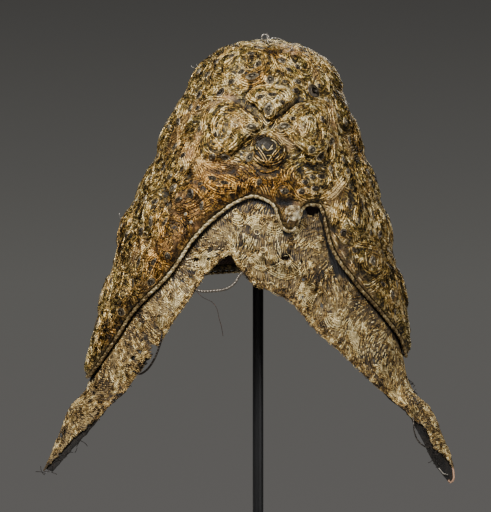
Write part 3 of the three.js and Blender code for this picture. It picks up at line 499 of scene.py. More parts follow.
# %% The relief table over turn and run
table_turn = np.linspace(-180, 180, 721)
table_run = np.linspace(0, float(run_at(1.0)) + 6, 421)
grid_turn, grid_run = np.meshgrid(table_turn, table_run)
grid_place = on_form(grid_turn, grid_run)
facing = np.abs(grid_turn) < 100


def spots(rows):
    """The sum over all spots of exp(-(distance / radius)^2), each times its strength."""
    rows = np.array([row if len(row) > 3 else (*row, 1) for row in rows], float)
    middles = on_form(*seen_at(rows[:, :2]).T)
    total = np.zeros(grid_turn.shape)
    for middle, radius, strength in zip(middles, rows[:, 2] * pixel_size, rows[:, 3]):
        gap = ((grid_place - middle) ** 2).sum(-1)
        total += strength * np.exp(-gap / radius**2)
    return total * facing


def smooth_path(points, step):
    """Points evenly along a smooth curve through the given ones, which runs by their chord lengths."""
    points = np.asarray(points, float)
    along = lengths_along(points)
    at = np.linspace(0, along[-1], max(int(along[-1] / step) + 1, 4))
    return np.stack([smooth_curve(along, column)(at) for column in points.T], -1)


def along_pixels(pixels, step):
    """The places under a smooth path, from one flat list of the x and y of its pixels."""
    return seen_at(smooth_path(np.reshape(pixels, (-1, 2)), step))


def ridge_lift(rows):
    """For each ridge its rise times exp(-(distance to its line / width)^2), tapered to its ends."""
    total = np.zeros(grid_turn.shape)
    for width, rise, *pixels in rows:
        line = on_form(*along_pixels(pixels, 4).T)
        ends = np.sin(np.pi * (np.arange(len(line)) + 0.7) / (len(line) + 0.4)) ** 0.4
        for point, share in zip(line, ends):
            gap = ((grid_place - point) ** 2).sum(-1)
            total = np.maximum(total, rise * share * np.exp(-gap / width**2))
    return total * facing


def ripple(points, size, seed):
    """Smooth noise of about -1 to 1: twelve sine waves of about one size, in seeded random directions."""
    rng = np.random.default_rng(seed)
    waves = unit(rng.normal(size=(12, 3))) * 2 * np.pi / size * rng.uniform(0.6, 1.5, (12, 1))
    return np.sin(points @ waves.T + rng.uniform(0, 2 * np.pi, 12)).mean(-1) * 2.4


# Where the hollows and creases lie: cords thin there, and colours darken there as painted shade.
shaded_hollow_table = np.clip(spots([(x, y, r, 1) for x, y, r, _ in front_hollows]), 0, 1)
depth_table = spots(front_hollows)
eye_table = spots([(x, y, 0.6 * (wide + tall), 1) for x, y, wide, tall, *_ in front_eyes])
worn_table = np.clip(spots(front_worn), 0, 1)
worn_table = np.clip(worn_table + 0.5 * fade(ripple(grid_place, 34, 5), 0.55, 1.0), 0, 1)
stain_table = np.clip(spots(front_stain), 0, 1)
stain_table = np.clip(stain_table + 0.4 * fade(ripple(grid_place, 90, 8), 0.3, 0.9), 0, 1)

bump_table = np.stack([
    np.max(motif_rise * np.clip(1 - motif_reach(row_turn, row_run) ** 4, 0, 1), axis=-1)
    for row_turn, row_run in zip(grid_turn, grid_run)
])
grid_across, grid_up = offset_from(grid_turn, grid_run, crossing_turn, crossing_run)
beside_petals = fade(
    np.hypot((grid_across / petal_reach + 0.05) / 1.18, (grid_up / petal_reach + 0.05) / 0.9), 1, 1.25)
from_hem = np.maximum(hem_at(grid_turn) - grid_run, 0)
near_hem = fade(from_hem, 0, 9)
crease_table = ridge_lift([(width, 1, *pixels) for width, _, *pixels in front_creases])
shaded_hollow_table = np.maximum(shaded_hollow_table, crease_table)
crown_table = bump_table * beside_petals + ridge_lift(front_ridges) - depth_table - ridge_lift(front_creases)
crown_table = (crown_table + 0.25 * ripple(grid_place, 13, 3)) * near_hem
crown_table -= 2.5 * np.maximum(1 - from_hem / 9, 0) ** 2
crown_table += 0.9 * np.clip(spots([(294, 213, 9, 1)]), 0, 1) * ripple(grid_place, 6, 77)

top_table = crown_table.copy()
petal_mask = np.zeros(grid_turn.shape)
for petal in petals:
    petal_middle, outline = petal_outline(petal)
    x, y = grid_across - petal_middle[0], grid_up - petal_middle[1]
    out_share = np.hypot(x, y) / outline(np.arctan2(y, x))
    inside = (out_share < 1) & facing
    top_table = np.where(inside, np.maximum(top_table, petal_lift(petal, out_share)), top_table)
    petal_mask = np.maximum(petal_mask, inside)


def lookup(table):
    """Reads a table at any turn and run, between its four nearest entries."""
    def at(turn, run):
        x = (np.mod(np.asarray(turn, float) + 180, 360)) / 360 * (len(table_turn) - 1)
        y = np.clip(np.asarray(run, float) / table_run[-1], 0, 1) * (len(table_run) - 1)
        i = np.minimum(x.astype(int), len(table_turn) - 2)
        j = np.minimum(y.astype(int), len(table_run) - 2)
        s, t = x - i, y - j
        upper = table[j, i] * (1 - s) + table[j, i + 1] * s
        lower = table[j + 1, i] * (1 - s) + table[j + 1, i + 1] * s
        return upper * (1 - t) + lower * t

    return at


crown_lift, top_lift, on_petal = lookup(crown_table), lookup(top_table), lookup(petal_mask)
shaded_hollow_at, worn_at, stain_at = lookup(shaded_hollow_table), lookup(worn_table), lookup(stain_table)
eye_at = lookup(eye_table)
print("relief from", crown_table.min().round(1), "to", top_table.max().round(1), "mm")

# %% [markdown]
# ## Making meshes from arrays
# Three small helpers make every piece. skin() gives the quads of a grid of points, sweep() carries round
# cords along many paths at once, and put() writes arrays into a Blender mesh. A cord's UV runs in
# millimetres along it and from 0 to 1 round it, which is what the twist of a thread needs.

# %% Grids, fans and swept cords
def skin(grid, wrap=False, uv=None, values=None):
    """One quad between each two rows and columns of a grid of points. wrap also joins the last column."""
    rows, columns = grid.shape[:2]
    index = np.arange(rows * columns).reshape(rows, columns)
    if uv is None:
        down = np.linspace(0, lengths_along(grid[:, 0])[-1], rows)
        uv = np.stack(np.meshgrid(lengths_along(grid[rows // 2]), down), -1)
    if wrap:
        index = np.concatenate([index, index[:, :1]], 1)
        uv = np.concatenate([uv, 2 * uv[:, -1:] - uv[:, -2:-1]], 1)
    low, high = slice(None, -1), slice(1, None)
    corners = [(low, low), (high, low), (high, high), (low, high)]
    faces = np.stack([index[c] for c in corners], -1).reshape(-1, 4)
    face_uv = np.stack([uv[c] for c in corners], -2).reshape(-1, 4, 2)
    return {"points": grid.reshape(-1, 3), "faces": [(faces, face_uv)], "values": values or {}}


def fan(part, tip, ring, flip=False):
    """Closes a ring of a part's corners with triangles to one new corner at the tip."""
    new = len(part["points"])
    ring = ring[::-1] if flip else ring
    faces = np.stack([np.full(len(ring), new), ring, np.roll(ring, -1)], -1)
    part["points"] = np.concatenate([part["points"], np.reshape(tip, (1, 3))])
    part["faces"].append((faces, np.zeros((len(ring), 3, 2))))
    part["values"] = {name: np.append(value, value[ring[0]]) for name, value in part["values"].items()}
    return part


def closed_round(grid, first=None, last=None, **how):
    """The skin of a grid that is joined all round, with fans that close its first and its last row."""
    part, ring = skin(grid, wrap=True, **how), np.arange(grid.shape[1])
    if first is not None:
        fan(part, first, ring)
    if last is not None:
        fan(part, last, (len(grid) - 1) * len(ring) + ring, flip=True)
    return part


def only_used(part):
    """Leaves out the corners that no face uses, and renumbers the rest."""
    used = np.zeros(len(part["points"]), bool)
    for faces, _ in part["faces"]:
        used[faces] = True
    number = np.cumsum(used) - 1
    part["faces"] = [(number[faces], uv) for faces, uv in part["faces"]]
    part["values"] = {name: value[used] for name, value in part["values"].items()}
    part["points"] = part["points"][used]
    return part


def sweep(paths, normals, radius, sides=4, closed=False, flat=1.0, values=None):
    """Round cords along paths (n, m, 3): rings of centre + radius (cos a side + flat sin a up), where side is
    the unit cross product of the path's direction and the normal. Open ends get a cap, and stretches without
    a radius are left out."""
    n, m = paths.shape[:2]
    along = np.roll(paths, -1, 1) - np.roll(paths, 1, 1) if closed else np.gradient(paths, axis=1)
    along = unit(along)
    side = unit(np.cross(along, normals))
    up = np.cross(side, along)
    angle = 2 * np.pi * (np.arange(sides) + 0.5) / sides
    shown = np.broadcast_to(radius, (n, m)) > 0.02
    radius = np.broadcast_to(radius, (n, m))[..., None, None]
    rings = paths[:, :, None] + radius * (np.cos(angle)[:, None] * side[:, :, None]
                                          + flat * np.sin(angle)[:, None] * up[:, :, None])
    index = np.arange(n * m * sides).reshape(n, m, sides)
    step = np.linalg.norm(np.diff(paths, axis=1), axis=-1)
    length = np.concatenate([np.zeros((n, 1)), np.cumsum(step, 1)], 1)
    if closed:
        index = np.concatenate([index, index[:, :1]], 1)
        length = np.concatenate([length, length[:, -1:] + step[:, -1:]], 1)
        shown = np.concatenate([shown, shown[:, :1]], 1)
    drawn = shown[:, :-1] | shown[:, 1:]
    index = np.concatenate([index, index[..., :1]], -1)
    faces = np.stack([index[:, :-1, :-1], index[:, 1:, :-1], index[:, 1:, 1:], index[:, :-1, 1:]], -1)
    u = np.broadcast_to(length[..., None], index.shape)
    v = np.broadcast_to(np.arange(sides + 1) / sides, index.shape)
    uv = np.stack([u, v], -1)
    face_uv = np.stack([uv[:, :-1, :-1], uv[:, 1:, :-1], uv[:, 1:, 1:], uv[:, :-1, 1:]], -2)
    kept = [(faces[drawn].reshape(-1, 4), face_uv[drawn].reshape(-1, 4, 2))]
    if not closed:
        for cap in (index[:, 0, :-1], index[:, -1, :-1][:, ::-1]):
            kept.append((cap, np.zeros((n, sides, 2))))
    spread = {name: np.broadcast_to(np.asarray(value)[..., None], (n, m, sides)).ravel()
              for name, value in (values or {}).items()}
    return only_used({"points": rings.reshape(-1, 3), "faces": kept, "values": spread})


def put(name, parts, finish, replaces=()):
    """Joins parts into one mesh in metres, smooth shaded, with its UV map and its painted values."""
    points = np.concatenate([part["points"] for part in parts]) * MM
    firsts = np.cumsum([0] + [len(part["points"]) for part in parts[:-1]])
    faces = [(f + first, uv) for part, first in zip(parts, firsts) for f, uv in part["faces"]]
    loops = np.concatenate([f.ravel() for f, _ in faces])
    sizes = np.concatenate([np.full(len(f), f.shape[1]) for f, _ in faces])
    mesh = bpy.data.meshes.new(name)
    mesh.vertices.add(len(points))
    mesh.vertices.foreach_set("co", points.astype(np.float32).ravel())
    mesh.loops.add(len(loops))
    mesh.loops.foreach_set("vertex_index", loops.astype(np.int32))
    mesh.polygons.add(len(sizes))
    mesh.polygons.foreach_set("loop_start", np.concatenate([[0], np.cumsum(sizes)[:-1]]).astype(np.int32))
    mesh.update(calc_edges=True)
    mesh.polygons.foreach_set("use_smooth", np.ones(len(sizes), bool))
    layer = mesh.uv_layers.new(name="thread")
    flat_uv = np.concatenate([uv.reshape(-1, 2) for _, uv in faces])
    layer.uv.foreach_set("vector", flat_uv.astype(np.float32).ravel())
    for value in sorted({key for part in parts for key in part["values"]}):
        painted = np.concatenate([part["values"].get(value, np.zeros(len(part["points"]))) for part in parts])
        mesh.attributes.new(value, "FLOAT", "POINT").data.foreach_set("value", painted.astype(np.float32))
    mesh.materials.append(finish)
    piece = bpy.data.objects.new(name, mesh)
    bpy.context.scene.collection.objects.link(piece)
    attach(piece, "root")
    if replaces:
        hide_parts(*replaces)
    print(f"{name}: {int((sizes - 2).sum())} triangles")
    return piece


def thicken(piece, thickness):
    """Makes a sheet solid by a modifier. Gives the area of one of its faces in square metres."""
    solid = piece.modifiers.new("thickness", "SOLIDIFY")
    solid.thickness, solid.offset = thickness * MM, -1.0
    return sum(polygon.area for polygon in piece.data.polygons)


# %% [markdown]
# ## Materials
# The gold is gilt silver foil wound on a silk core, laid down in cords. Old gilt goes dull and brown and
# stays pale where it is rubbed, and in its valleys it is darkened further as painted shade. So each finish
# chooses a colour by the tone that is painted on each cord and by noise of three sizes, and a bump along
# the thread's UV gives the winding. Colours are written as sRGB hex and turned to linear by one function.

# %% Helpers for materials
MATH, RAMP, MIX, BUMP = "ShaderNodeMath", "ShaderNodeValToRGB", "ShaderNodeMix", "ShaderNodeBump"
NOISE, PAINTED, PLACE = "ShaderNodeTexNoise", "ShaderNodeAttribute", "ShaderNodeTexCoord"
UV_MAP, PARTS = "ShaderNodeUVMap", "ShaderNodeSeparateXYZ"
# The near black is the colour of painted shade in hollows, creases and the gap under the edging.
SILK_CORE, SHADE_BLACK = "#c29a68", "#0b0806"


def linear(code):
    """An sRGB hex colour as linear: ((c + 0.055) / 1.055)^2.4 above 0.04045, and c / 12.92 below."""
    c = np.array([int(code[i:i + 2], 16) for i in (1, 3, 5)]) / 255
    return (*np.where(c > 0.04045, ((c + 0.055) / 1.055) ** 2.4, c / 12.92), 1.0)


def add(tree, kind, inputs=(), out=0, stops=(), **settings):
    """Adds a node with its settings, links and colour stops, and returns one of its outputs. The inputs are a
    list, or a table by name or number, and each is a number, a colour or another node's output."""
    node = tree.nodes.new(kind)
    for name, value in settings.items():
        setattr(node, name, value)
    for name, value in inputs.items() if isinstance(inputs, dict) else enumerate(inputs):
        if isinstance(value, bpy.types.NodeSocket):
            tree.links.new(value, node.inputs[name])
        else:
            node.inputs[name].default_value = value
    while stops and len(node.color_ramp.elements) < len(stops):
        node.color_ramp.elements.new(0.5)
    for point, (place, code) in zip(node.color_ramp.elements if stops else (), stops):
        point.position, point.color = place, linear(code)
    return node.outputs[out]


def surfaced(name, metallic, pattern, ior=None):
    """A material whose pattern(tree) gives its colour, roughness, height, and the height's strength and depth
    in mm. A constant is set on the shader's own input."""
    material = bpy.data.materials.new(name)
    material.use_nodes = True
    tree = material.node_tree
    surface = tree.nodes["Principled BSDF"]
    surface.inputs["Metallic"].default_value = metallic
    if ior:
        surface.inputs["IOR"].default_value = ior
    colour, rough, height, strength, depth = pattern(tree)
    tree.links.new(colour, surface.inputs["Base Color"])
    if isinstance(rough, float):
        surface.inputs["Roughness"].default_value = rough
    else:
        tree.links.new(rough, surface.inputs["Roughness"])
    bump = add(tree, BUMP, {"Height": height, "Strength": strength, "Distance": depth * MM})
    tree.links.new(bump, surface.inputs["Normal"])
    return material


def grain(tree, size, detail=3.0, rough=0.6):
    """Noise on Object coordinates, whose blobs are about size millimetres wide."""
    place = add(tree, PLACE, out="Object")
    scale = 0.5 / (size * MM)
    return add(tree, NOISE, {"Vector": place, "Scale": scale, "Detail": detail, "Roughness": rough})


def waves(tree, axis, pitch):
    """The sine of 2 pi times a UV distance over the pitch, both in millimetres."""
    distance = add(tree, PARTS, [add(tree, UV_MAP, uv_map="thread")], out=axis)
    return add(tree, MATH, [add(tree, MATH, [distance, 2 * np.pi / pitch], operation="MULTIPLY")],
               operation="SINE")


def twist(tree, pitch):
    """The winding of a thread: the sine of 2 pi (length / pitch + the share round it)."""
    parts = add(tree, UV_MAP, uv_map="thread")
    along = add(tree, MATH, [add(tree, PARTS, [parts], out="X"), 2 * np.pi / pitch], operation="MULTIPLY")
    wound = add(tree, MATH, [add(tree, PARTS, [parts], out="Y"), 2 * np.pi, along], operation="MULTIPLY_ADD")
    return add(tree, MATH, [wound], operation="SINE")


def warmed(tree, colour, amount):
    """A colour under the orange stain: multiplied by a warm yellow as far as the painted stain goes."""
    stain = add(tree, PAINTED, attribute_name="stain", out="Fac")
    share = add(tree, MATH, [stain, amount], operation="MULTIPLY")
    return add(tree, MIX, {0: share, 6: colour, 7: linear("#f7cf86")}, out=2, data_type="RGBA",
               blend_type="MULTIPLY")


def thread_finish(name, stops, metallic, rough, pitch=2.4, stained=0.7, contrast=1.3):
    """Wound metal thread: tone and noise choose the colour, stain warms it, wear shows the silk core."""
    def pattern(tree):
        fine, middle, broad = grain(tree, 1.7), grain(tree, 3.2), grain(tree, 10.0)
        mixed = add(tree, MATH, [fine, 1.4, middle], operation="MULTIPLY_ADD")
        mixed = add(tree, MATH, [broad, 0.5, mixed], operation="MULTIPLY_ADD")
        level = add(tree, MATH, [mixed, contrast, -1.45 * contrast], operation="MULTIPLY_ADD")
        tone, worn = (add(tree, PAINTED, attribute_name=value, out="Fac") for value in ("tone", "worn"))
        level = add(tree, MATH, [level, tone], operation="ADD")
        colour = warmed(tree, add(tree, RAMP, [level], stops=stops), stained)
        wear = add(tree, MATH, [worn, broad], operation="MULTIPLY")
        colour = add(tree, MIX, {0: wear, 6: colour, 7: linear(SILK_CORE)}, out=2, data_type="RGBA")
        roughness = add(tree, MATH, [fine, 0.3, rough - 0.15], operation="MULTIPLY_ADD")
        height = add(tree, MATH, [twist(tree, pitch), 0.5, fine], operation="MULTIPLY_ADD")
        return colour, roughness, height, 0.55, 0.35

    return surfaced(name, metallic, pattern)


def cloth_finish(name, stops, rough, pitch, blob=12.0, strength=0.5):
    """Woven cloth: noise chooses the colour, two crossing rows of threads on the UV give the bump, and
    painted shade darkens it to near black where it is painted."""
    def pattern(tree):
        weave = add(tree, MATH, [waves(tree, "X", pitch), waves(tree, "Y", pitch)], operation="MULTIPLY")
        both = add(tree, MATH, [grain(tree, blob), grain(tree, 1.5)], operation="ADD")
        level = add(tree, MATH, [both, 0.5], operation="MULTIPLY")
        tint = add(tree, MATH, [weave, 0.08, level], operation="MULTIPLY_ADD")
        # Painted shade: the cloth goes near black where the shade attribute is painted.
        dark = add(tree, PAINTED, attribute_name="hollow", out="Fac")
        colour = add(tree, RAMP, [tint], stops=stops)
        colour = add(tree, MIX, {0: dark, 6: colour, 7: linear(SHADE_BLACK)}, out=2, data_type="RGBA")
        height = add(tree, MATH, [weave, 0.5, level], operation="MULTIPLY_ADD")
        return colour, rough, height, strength, 0.4

    return surfaced(name, 0.0, pattern, 1.5)


# %% The finishes of threads and cloths
# Gilt silver thread after 200 years: olive brown where its tone is low, which includes painted shade in
# the valleys, and straw coloured where it is rubbed.
gold_stops = [(0.0, "#17110a"), (0.28, "#4a381c"), (0.5, "#8d7035"), (0.72, "#caa459"), (0.95, "#f6dfa8")]
gilt_thread = thread_finish("gilt_thread", gold_stops, 0.7, 0.42, contrast=1.8)
# Short coils of gilt wire, bright on their turns; their real pitch of 0.4 mm is drawn as 1.6 mm to show.
purl_stops = [(0.0, "#15120b"), (0.3, "#463b1c"), (0.55, "#8c7738"), (0.8, "#cdb36c"), (1.0, "#f3e4b8")]
purl_wire = thread_finish("purl_wire", purl_stops, 0.75, 0.36, pitch=1.6)
# The edging: pale gilt cord of two strands, with more silk showing.
cord_stops = [(0.0, "#2a2013"), (0.35, "#705b38"), (0.62, "#a89264"), (0.85, "#d2bf92"), (1.0, "#e9dab2")]
edging_cord = thread_finish("edging_cord", cord_stops, 0.45, 0.5, pitch=1.8, stained=0.3, contrast=1.1)
# Bobbin lace of silver-gilt thread, gone beige and grey, over a ground sheet that stands for its close
# mesh and is coloured dark as painted shade between the threads.
lace_stops = [(0.0, "#1b140a"), (0.3, "#624b28"), (0.55, "#ac894f"), (0.78, "#e2c47e"), (1.0, "#fde9b2")]
lace_thread = thread_finish("lace_thread", lace_stops, 0.45, 0.42, pitch=2.0, stained=0.25, contrast=1.7)
lace_ground = cloth_finish("lace_ground", [(0.4, "#1c150b"), (0.49, "#58452b"), (0.6, "#a1895a")], 0.6, 1.8,
                           strength=0.8)
# Bare wire, dull with age, and a loose reddish silk thread.
bare_wire = thread_finish("bare_wire", [(0.0, "#2c2621"), (0.6, "#8d8478"), (1.0, "#d9d3c8")], 0.7, 0.4,
                          contrast=0.5)
red_silk = thread_finish("red_silk", [(0.0, "#14100d"), (0.4, "#2a1f19"), (1.0, "#7a4a34")], 0.0, 0.7,
                         contrast=0.5)
# Tabby cloths: the lining of brown linen, black-brown silk behind the lappets, felt on the dome.
brown_linen = cloth_finish("brown_linen", [(0.3, "#221912"), (0.7, "#453225")], 0.85, 1.4)
dark_silk = cloth_finish("dark_silk", [(0.35, "#060504"), (0.5, "#15110d"), (0.68, "#2f2820")], 0.75, 1.2)
pink_silk = cloth_finish("pink_silk", [(0.3, "#8a6a50"), (0.7, "#c49a7c")], 0.7, 1.2)
dome_felt = cloth_finish("dome_felt", [(0.3, "#1a1816"), (0.7, "#2e2a28")], 0.95, 2.5)


# %% The ground cloth, the foil of the eyes and the stand's paint
def packed_ground(tree):
    """Brown silk packed with gold: dark between the cords, pink and tan where the gold is gone, and near
    black where painted shade lies in hollows, in creases and on the rim and the inside.
    """
    fine, middle = grain(tree, 0.9, 4.0, 0.7), grain(tree, 2.6)
    # Painted shade: hollows, creases, the rim and the inside are darkened towards near black.
    worn, hollow = (add(tree, PAINTED, attribute_name=value, out="Fac") for value in ("worn", "hollow"))
    level = add(tree, MATH, [middle, 0.9, fine], operation="MULTIPLY_ADD")
    gold = add(tree, RAMP, [add(tree, MATH, [level, 1.5, -0.93], operation="MULTIPLY_ADD")], stops=[
        (0.2, "#120e08"), (0.42, "#3d3219"), (0.58, "#77622f"), (0.74, "#b89d5e"), (0.9, "#ecd9a4")])
    silk = add(tree, RAMP, [fine], stops=[(0.3, "#7a5d3c"), (0.5, "#bd976a"), (0.7, "#ecd0a2")])
    colour = add(tree, MIX, {0: worn, 6: gold, 7: silk}, out=2, data_type="RGBA")
    colour = add(tree, MIX, {0: hollow, 6: warmed(tree, colour, 0.7), 7: linear(SHADE_BLACK)}, out=2,
                 data_type="RGBA")
    rough = add(tree, MATH, [fine, 0.3, 0.35], operation="MULTIPLY_ADD")
    return colour, rough, level, 0.9, 0.8


def foil_rows(dark, pale):
    """Flat wire wound over card, tarnished brown-grey: fine rows across the eye and a few bright turns."""
    def pattern(tree):
        level = add(tree, MATH, [waves(tree, "X", 1.3), 0.08, grain(tree, 1.4)], operation="MULTIPLY_ADD")
        tone = add(tree, PAINTED, attribute_name="tone", out="Fac")
        level = add(tree, MATH, [tone, 0.55, level], operation="MULTIPLY_ADD")
        level = add(tree, MATH, [level, 0.3], operation="SUBTRACT")
        colour = add(tree, RAMP, [level], stops=[(0.3, dark), (0.6, pale), (0.95, "#d9d0b4")])
        return colour, 0.42, level, 0.5, 0.3

    return pattern


def orange_peel(tree):
    """Black powder coat over steel: nearly smooth, with a faint orange peel of about 0.6 mm."""
    fine = grain(tree, 0.6)
    colour = add(tree, RAMP, [grain(tree, 20.0)], stops=[(0.3, "#08080a"), (0.7, "#121214")])
    return colour, add(tree, MATH, [fine, 0.2, 0.35], operation="MULTIPLY_ADD"), fine, 0.15, 0.1


embroidered_ground = surfaced("embroidered_ground", 0.35, packed_ground)
grey_foil = surfaced("grey_foil", 0.4, foil_rows("#3a3024", "#857961"))
dark_foil = surfaced("dark_foil", 0.4, foil_rows("#2a241a", "#6b6250"))
steel_paint = surfaced("black_powder_coat", 0.0, orange_peel, 1.5)
print("materials:", len(bpy.data.materials))

# %% [markdown]
# ## Loose wires and threads
# A few ends have come free: a loop of wire on the top, a long loop of covered wire under the brow, a
# reddish thread that hangs from it, and a loop at each lappet. Each is a cord of its real length whose
# path is read off the photograph and laid just in front of the cloth that carries it.

# %% Cords that have come loose
def in_front(pixels, y):
    """Points at depth y behind the camera's plane of the post, on the lines of sight of pixels."""
    pixels = np.asarray(pixels, float)
    spread = pixel_size * (y - camera_place[1]) / -camera_place[1]
    x = camera_place[0] + (pixels[:, 0] - photo_width / 2) * spread
    z = camera_place[2] - (pixels[:, 1] - photo_height / 2) * spread
    return np.stack([x, np.broadcast_to(y, x.shape), z], -1)


def loose_cord(name, points, diameter, finish, tone=0.5):
    """A bare wire or thread along a smooth curve through points."""
    path = smooth_path(points, 1.5)
    toward = np.broadcast_to([0.0, -1.0, 0.3], path.shape)
    tones = {"tone": np.full((1, len(path)), tone)}
    piece = put(name, [sweep(path[None], toward[None], diameter / 2, 6, values=tones)], finish)


def hang(pixels):
    """A path through pixels whose depth goes evenly from the lace at its first to that at its last, and
    bows up to 6 mm towards the camera between them. The lace lies 8 mm inside the form."""
    depth = off_form(*seen_at([pixels[0], pixels[-1]]).T, -8.0)[:, 1]
    along = np.linspace(0, 1, len(pixels))
    return in_front(pixels, depth[0] + (depth[1] - depth[0]) * along - 6 * np.sin(np.pi * along))


loose_cord("top_wire_loop", in_front(
    [(285, 43), (280, 39), (273, 38), (268, 41), (263, 41), (261.5, 37.5), (264, 34.5), (268, 35),
     (269, 38.5), (266, 41.5)], 2.0), 1.0, bare_wire, tone=0.8)
loose_cord("brow_wire_loop", hang(
    [(196, 290), (204, 291.5), (213, 291), (222, 290), (230, 287), (236, 281.5), (239, 276),
     (243, 272)]), 2.1, bare_wire, tone=0.42)
loose_cord("hanging_silk_thread", hang(
    [(196, 291), (203, 297.5), (212, 302), (217, 309), (219, 318), (221.5, 327), (223, 336)]), 0.45, red_silk)
loose_cord("left_lappet_loop", hang(
    [(162, 333), (161.5, 338), (158.5, 349), (153, 361.5), (146, 370.5), (139.5, 374), (133, 371)]), 1.6,
    bare_wire, tone=0.0)
loose_cord("right_lappet_loop", hang(
    [(410, 412), (413.5, 420), (413.8, 428), (416, 437), (421, 444), (428, 447.5), (431, 443)]), 1.1,
    bare_wire, tone=0.1)

# %% [markdown]
# ## The ground cloth of the crown
# Beneath the gold is a quilted shell: brown silk over padding. It is one closed surface that runs from
# the apex down the outside, round the hem and back up the inside. Rows follow the hem, and the columns
# are closer where the hem bends, so the arch and the tab stay sharp.

# %% The crown's shell
zones = [(-180, -90, 80), (-90, -36, 70), (-36, 8, 60), (8, 36, 80), (36, 90, 70), (90, 180, 80)]
columns = np.concatenate([np.linspace(a, b, n, endpoint=False) for a, b, n in zones])
outer_rows = 88
shares = np.arange(1, outer_rows + 1) / outer_rows
hem = hem_at(columns)
face_turn, face_run = np.broadcast_arrays(columns[None], hem[None] * shares[:, None])
outside = off_form(face_turn, face_run, crown_lift(face_turn, face_run))
rim = np.stack([off_form(columns, hem + below, lift) for below, lift in [(0.4, -3.4), (0.4, -5), (0, -6)]])
inner_shares = np.array([0.985, 0.95, 0.9, 0.82, 0.7, 0.56, 0.42, 0.3, 0.2, 0.12, 0.06])
inside_turn, inside_run = np.broadcast_arrays(columns[None], hem[None] * inner_shares[:, None])
inside = off_form(inside_turn, inside_run, -6.0)
shell_values = {}
for name, table in (("hollow", shaded_hollow_at), ("worn", worn_at), ("stain", stain_at)):
    # Painted shade: the rim and the inside are half darkened, and the outside takes the shaded hollows.
    under = np.full((len(rim) + len(inside), len(columns)), 0.5 if name == "hollow" else 0.0)
    shell_values[name] = np.concatenate([table(face_turn, face_run), under]).ravel()
apex = on_form(0.0, 0.0)
shell_part = closed_round(np.concatenate([outside, rim, inside]), apex + [0, 0, float(crown_lift(0, 0))],
                          apex - [0, 0, 6.0], values=shell_values)
crown_ground = put("crown_ground", [shell_part], embroidered_ground, ["crown"])

# %% [markdown]
# ## The petals and the boss
# The middle motif stands highest. Each of its petals is a pad cut to shape, so its face is a function of
# two numbers: the share out from its middle to its edge, and the direction. Fine furrows run parallel to
# the edge, where rows of cord lie.

# %% Four padded forms
def petal_part(name):
    """Rows of the face from the middle to the edge, then of the underside back again, closed at both."""
    outline, angle = petal_outline(name)[1], circle(110)
    out = np.concatenate([[0.03, 0.07], np.linspace(0.12, 1, 34)])
    a, o = np.meshgrid(angle, out)
    turn, run = petal_place(name, o, a)
    furrow = 0.25 * np.cos(2 * np.pi * (1 - o) * outline(a) / 1.9) * fade(o, 0.2, 0.4)
    face = off_form(turn, run, petal_lift(name, o) + furrow)
    sole = off_form(*petal_place(name, *np.meshgrid([1.0, 0.6, 0.2], angle, indexing="ij")), petal_seam)
    values = {"stain": stain_at(turn, run), "worn": 0.6 * worn_at(turn, run), "hollow": 0 * run}
    values = {key: np.concatenate([v, np.zeros(sole.shape[:2])]).ravel() for key, v in values.items()}
    heart = petal_place(name, 0.0, 0.0)
    return closed_round(np.concatenate([face, sole]), off_form(*heart, petal_lift(name, 0.0)),
                        off_form(*heart, petal_seam), values=values)


for petal in petals:
    finish = dark_foil if petal == "centre_boss" else embroidered_ground
    pad = put(petal + "_pad", [petal_part(petal)], finish, [petal])

# %% [markdown]
# ## Couched cords
# Gold cord is too stiff to pass through cloth, so it is laid on top and held by small stitches. Rows of
# it run round each motif like ripples round a stone. Here each motif gets nested ovals, each a closed
# path over angle, and a cord thins to nothing where another motif lies nearer, in the hollows and creases
# and at the hem.

# %% Rows of cord round every motif
rng = np.random.default_rng(17)
lean_share = rng.uniform(-0.5, 0.5, (len(motifs), 2))
wave_size = rng.uniform(0.03, 0.09, (len(motifs), 3))
wave_phase = rng.uniform(0, 2 * np.pi, (len(motifs), 3))


def motif_ring(chosen, reach, angle):
    """Places on an oval at a reach round each chosen motif: its waves grow with the reach, and inner ovals
    lean towards one side."""
    wide, tall, turn, run, tilt = (value[chosen, None, None] for value in (
        motif_wide, motif_tall, motif_turn, motif_run, motif_tilt))
    wave = sum(wave_size[chosen, k, None, None] * np.cos((k + 2) * angle + wave_phase[chosen, k, None, None])
               for k in range(3))
    size = reach * (1 + wave * np.minimum(reach, 1))
    lean = lean_share[chosen][:, :, None, None] * np.maximum(1 - reach, 0)
    x, y = wide * (size * np.cos(angle) + lean[:, 0]), tall * (size * np.sin(angle) + lean[:, 1])
    return besides(turn, run, *rotated(x, y, tilt))


def room_for(turn, run):
    """1 where a cord may lie on the crown and 0 at the hem, in hollows, on eyes and under the petals."""
    free = fade(hem_at(turn) - run, 0.6, 2) * (1 - fade(shaded_hollow_at(turn, run), 0.25, 0.6))
    free = free * (1 - fade(eye_at(turn, run), 0.3, 0.5))
    return free * (1 - fade(on_petal(turn, run), 0.3, 0.7)) * fade(run, 3, 6)


def paint(turn, run, tone):
    """The tone, wear and stain of a cord at each of its points: darker near the apex and in hollows and
    grooves as painted shade, and darker where it is stained."""
    stain = stain_at(turn, run)
    # Painted shade: the top near the apex is darkened.
    tone = tone - 0.15 * (1 - fade(run, 12, 60)) - 0.12 * stain
    # Painted shade: cords in the hollows and creases are darker.
    tone = tone - 0.5 * np.clip(shaded_hollow_at(turn, run), 0, 1)
    return {"tone": tone, "worn": worn_at(turn, run) + 0 * tone, "stain": stain + 0 * tone}


def on_top(turn, run, above=0.0):
    """The face of the crown and its petals, or a point that far above it."""
    return off_form(turn, run, top_lift(turn, run) + above)


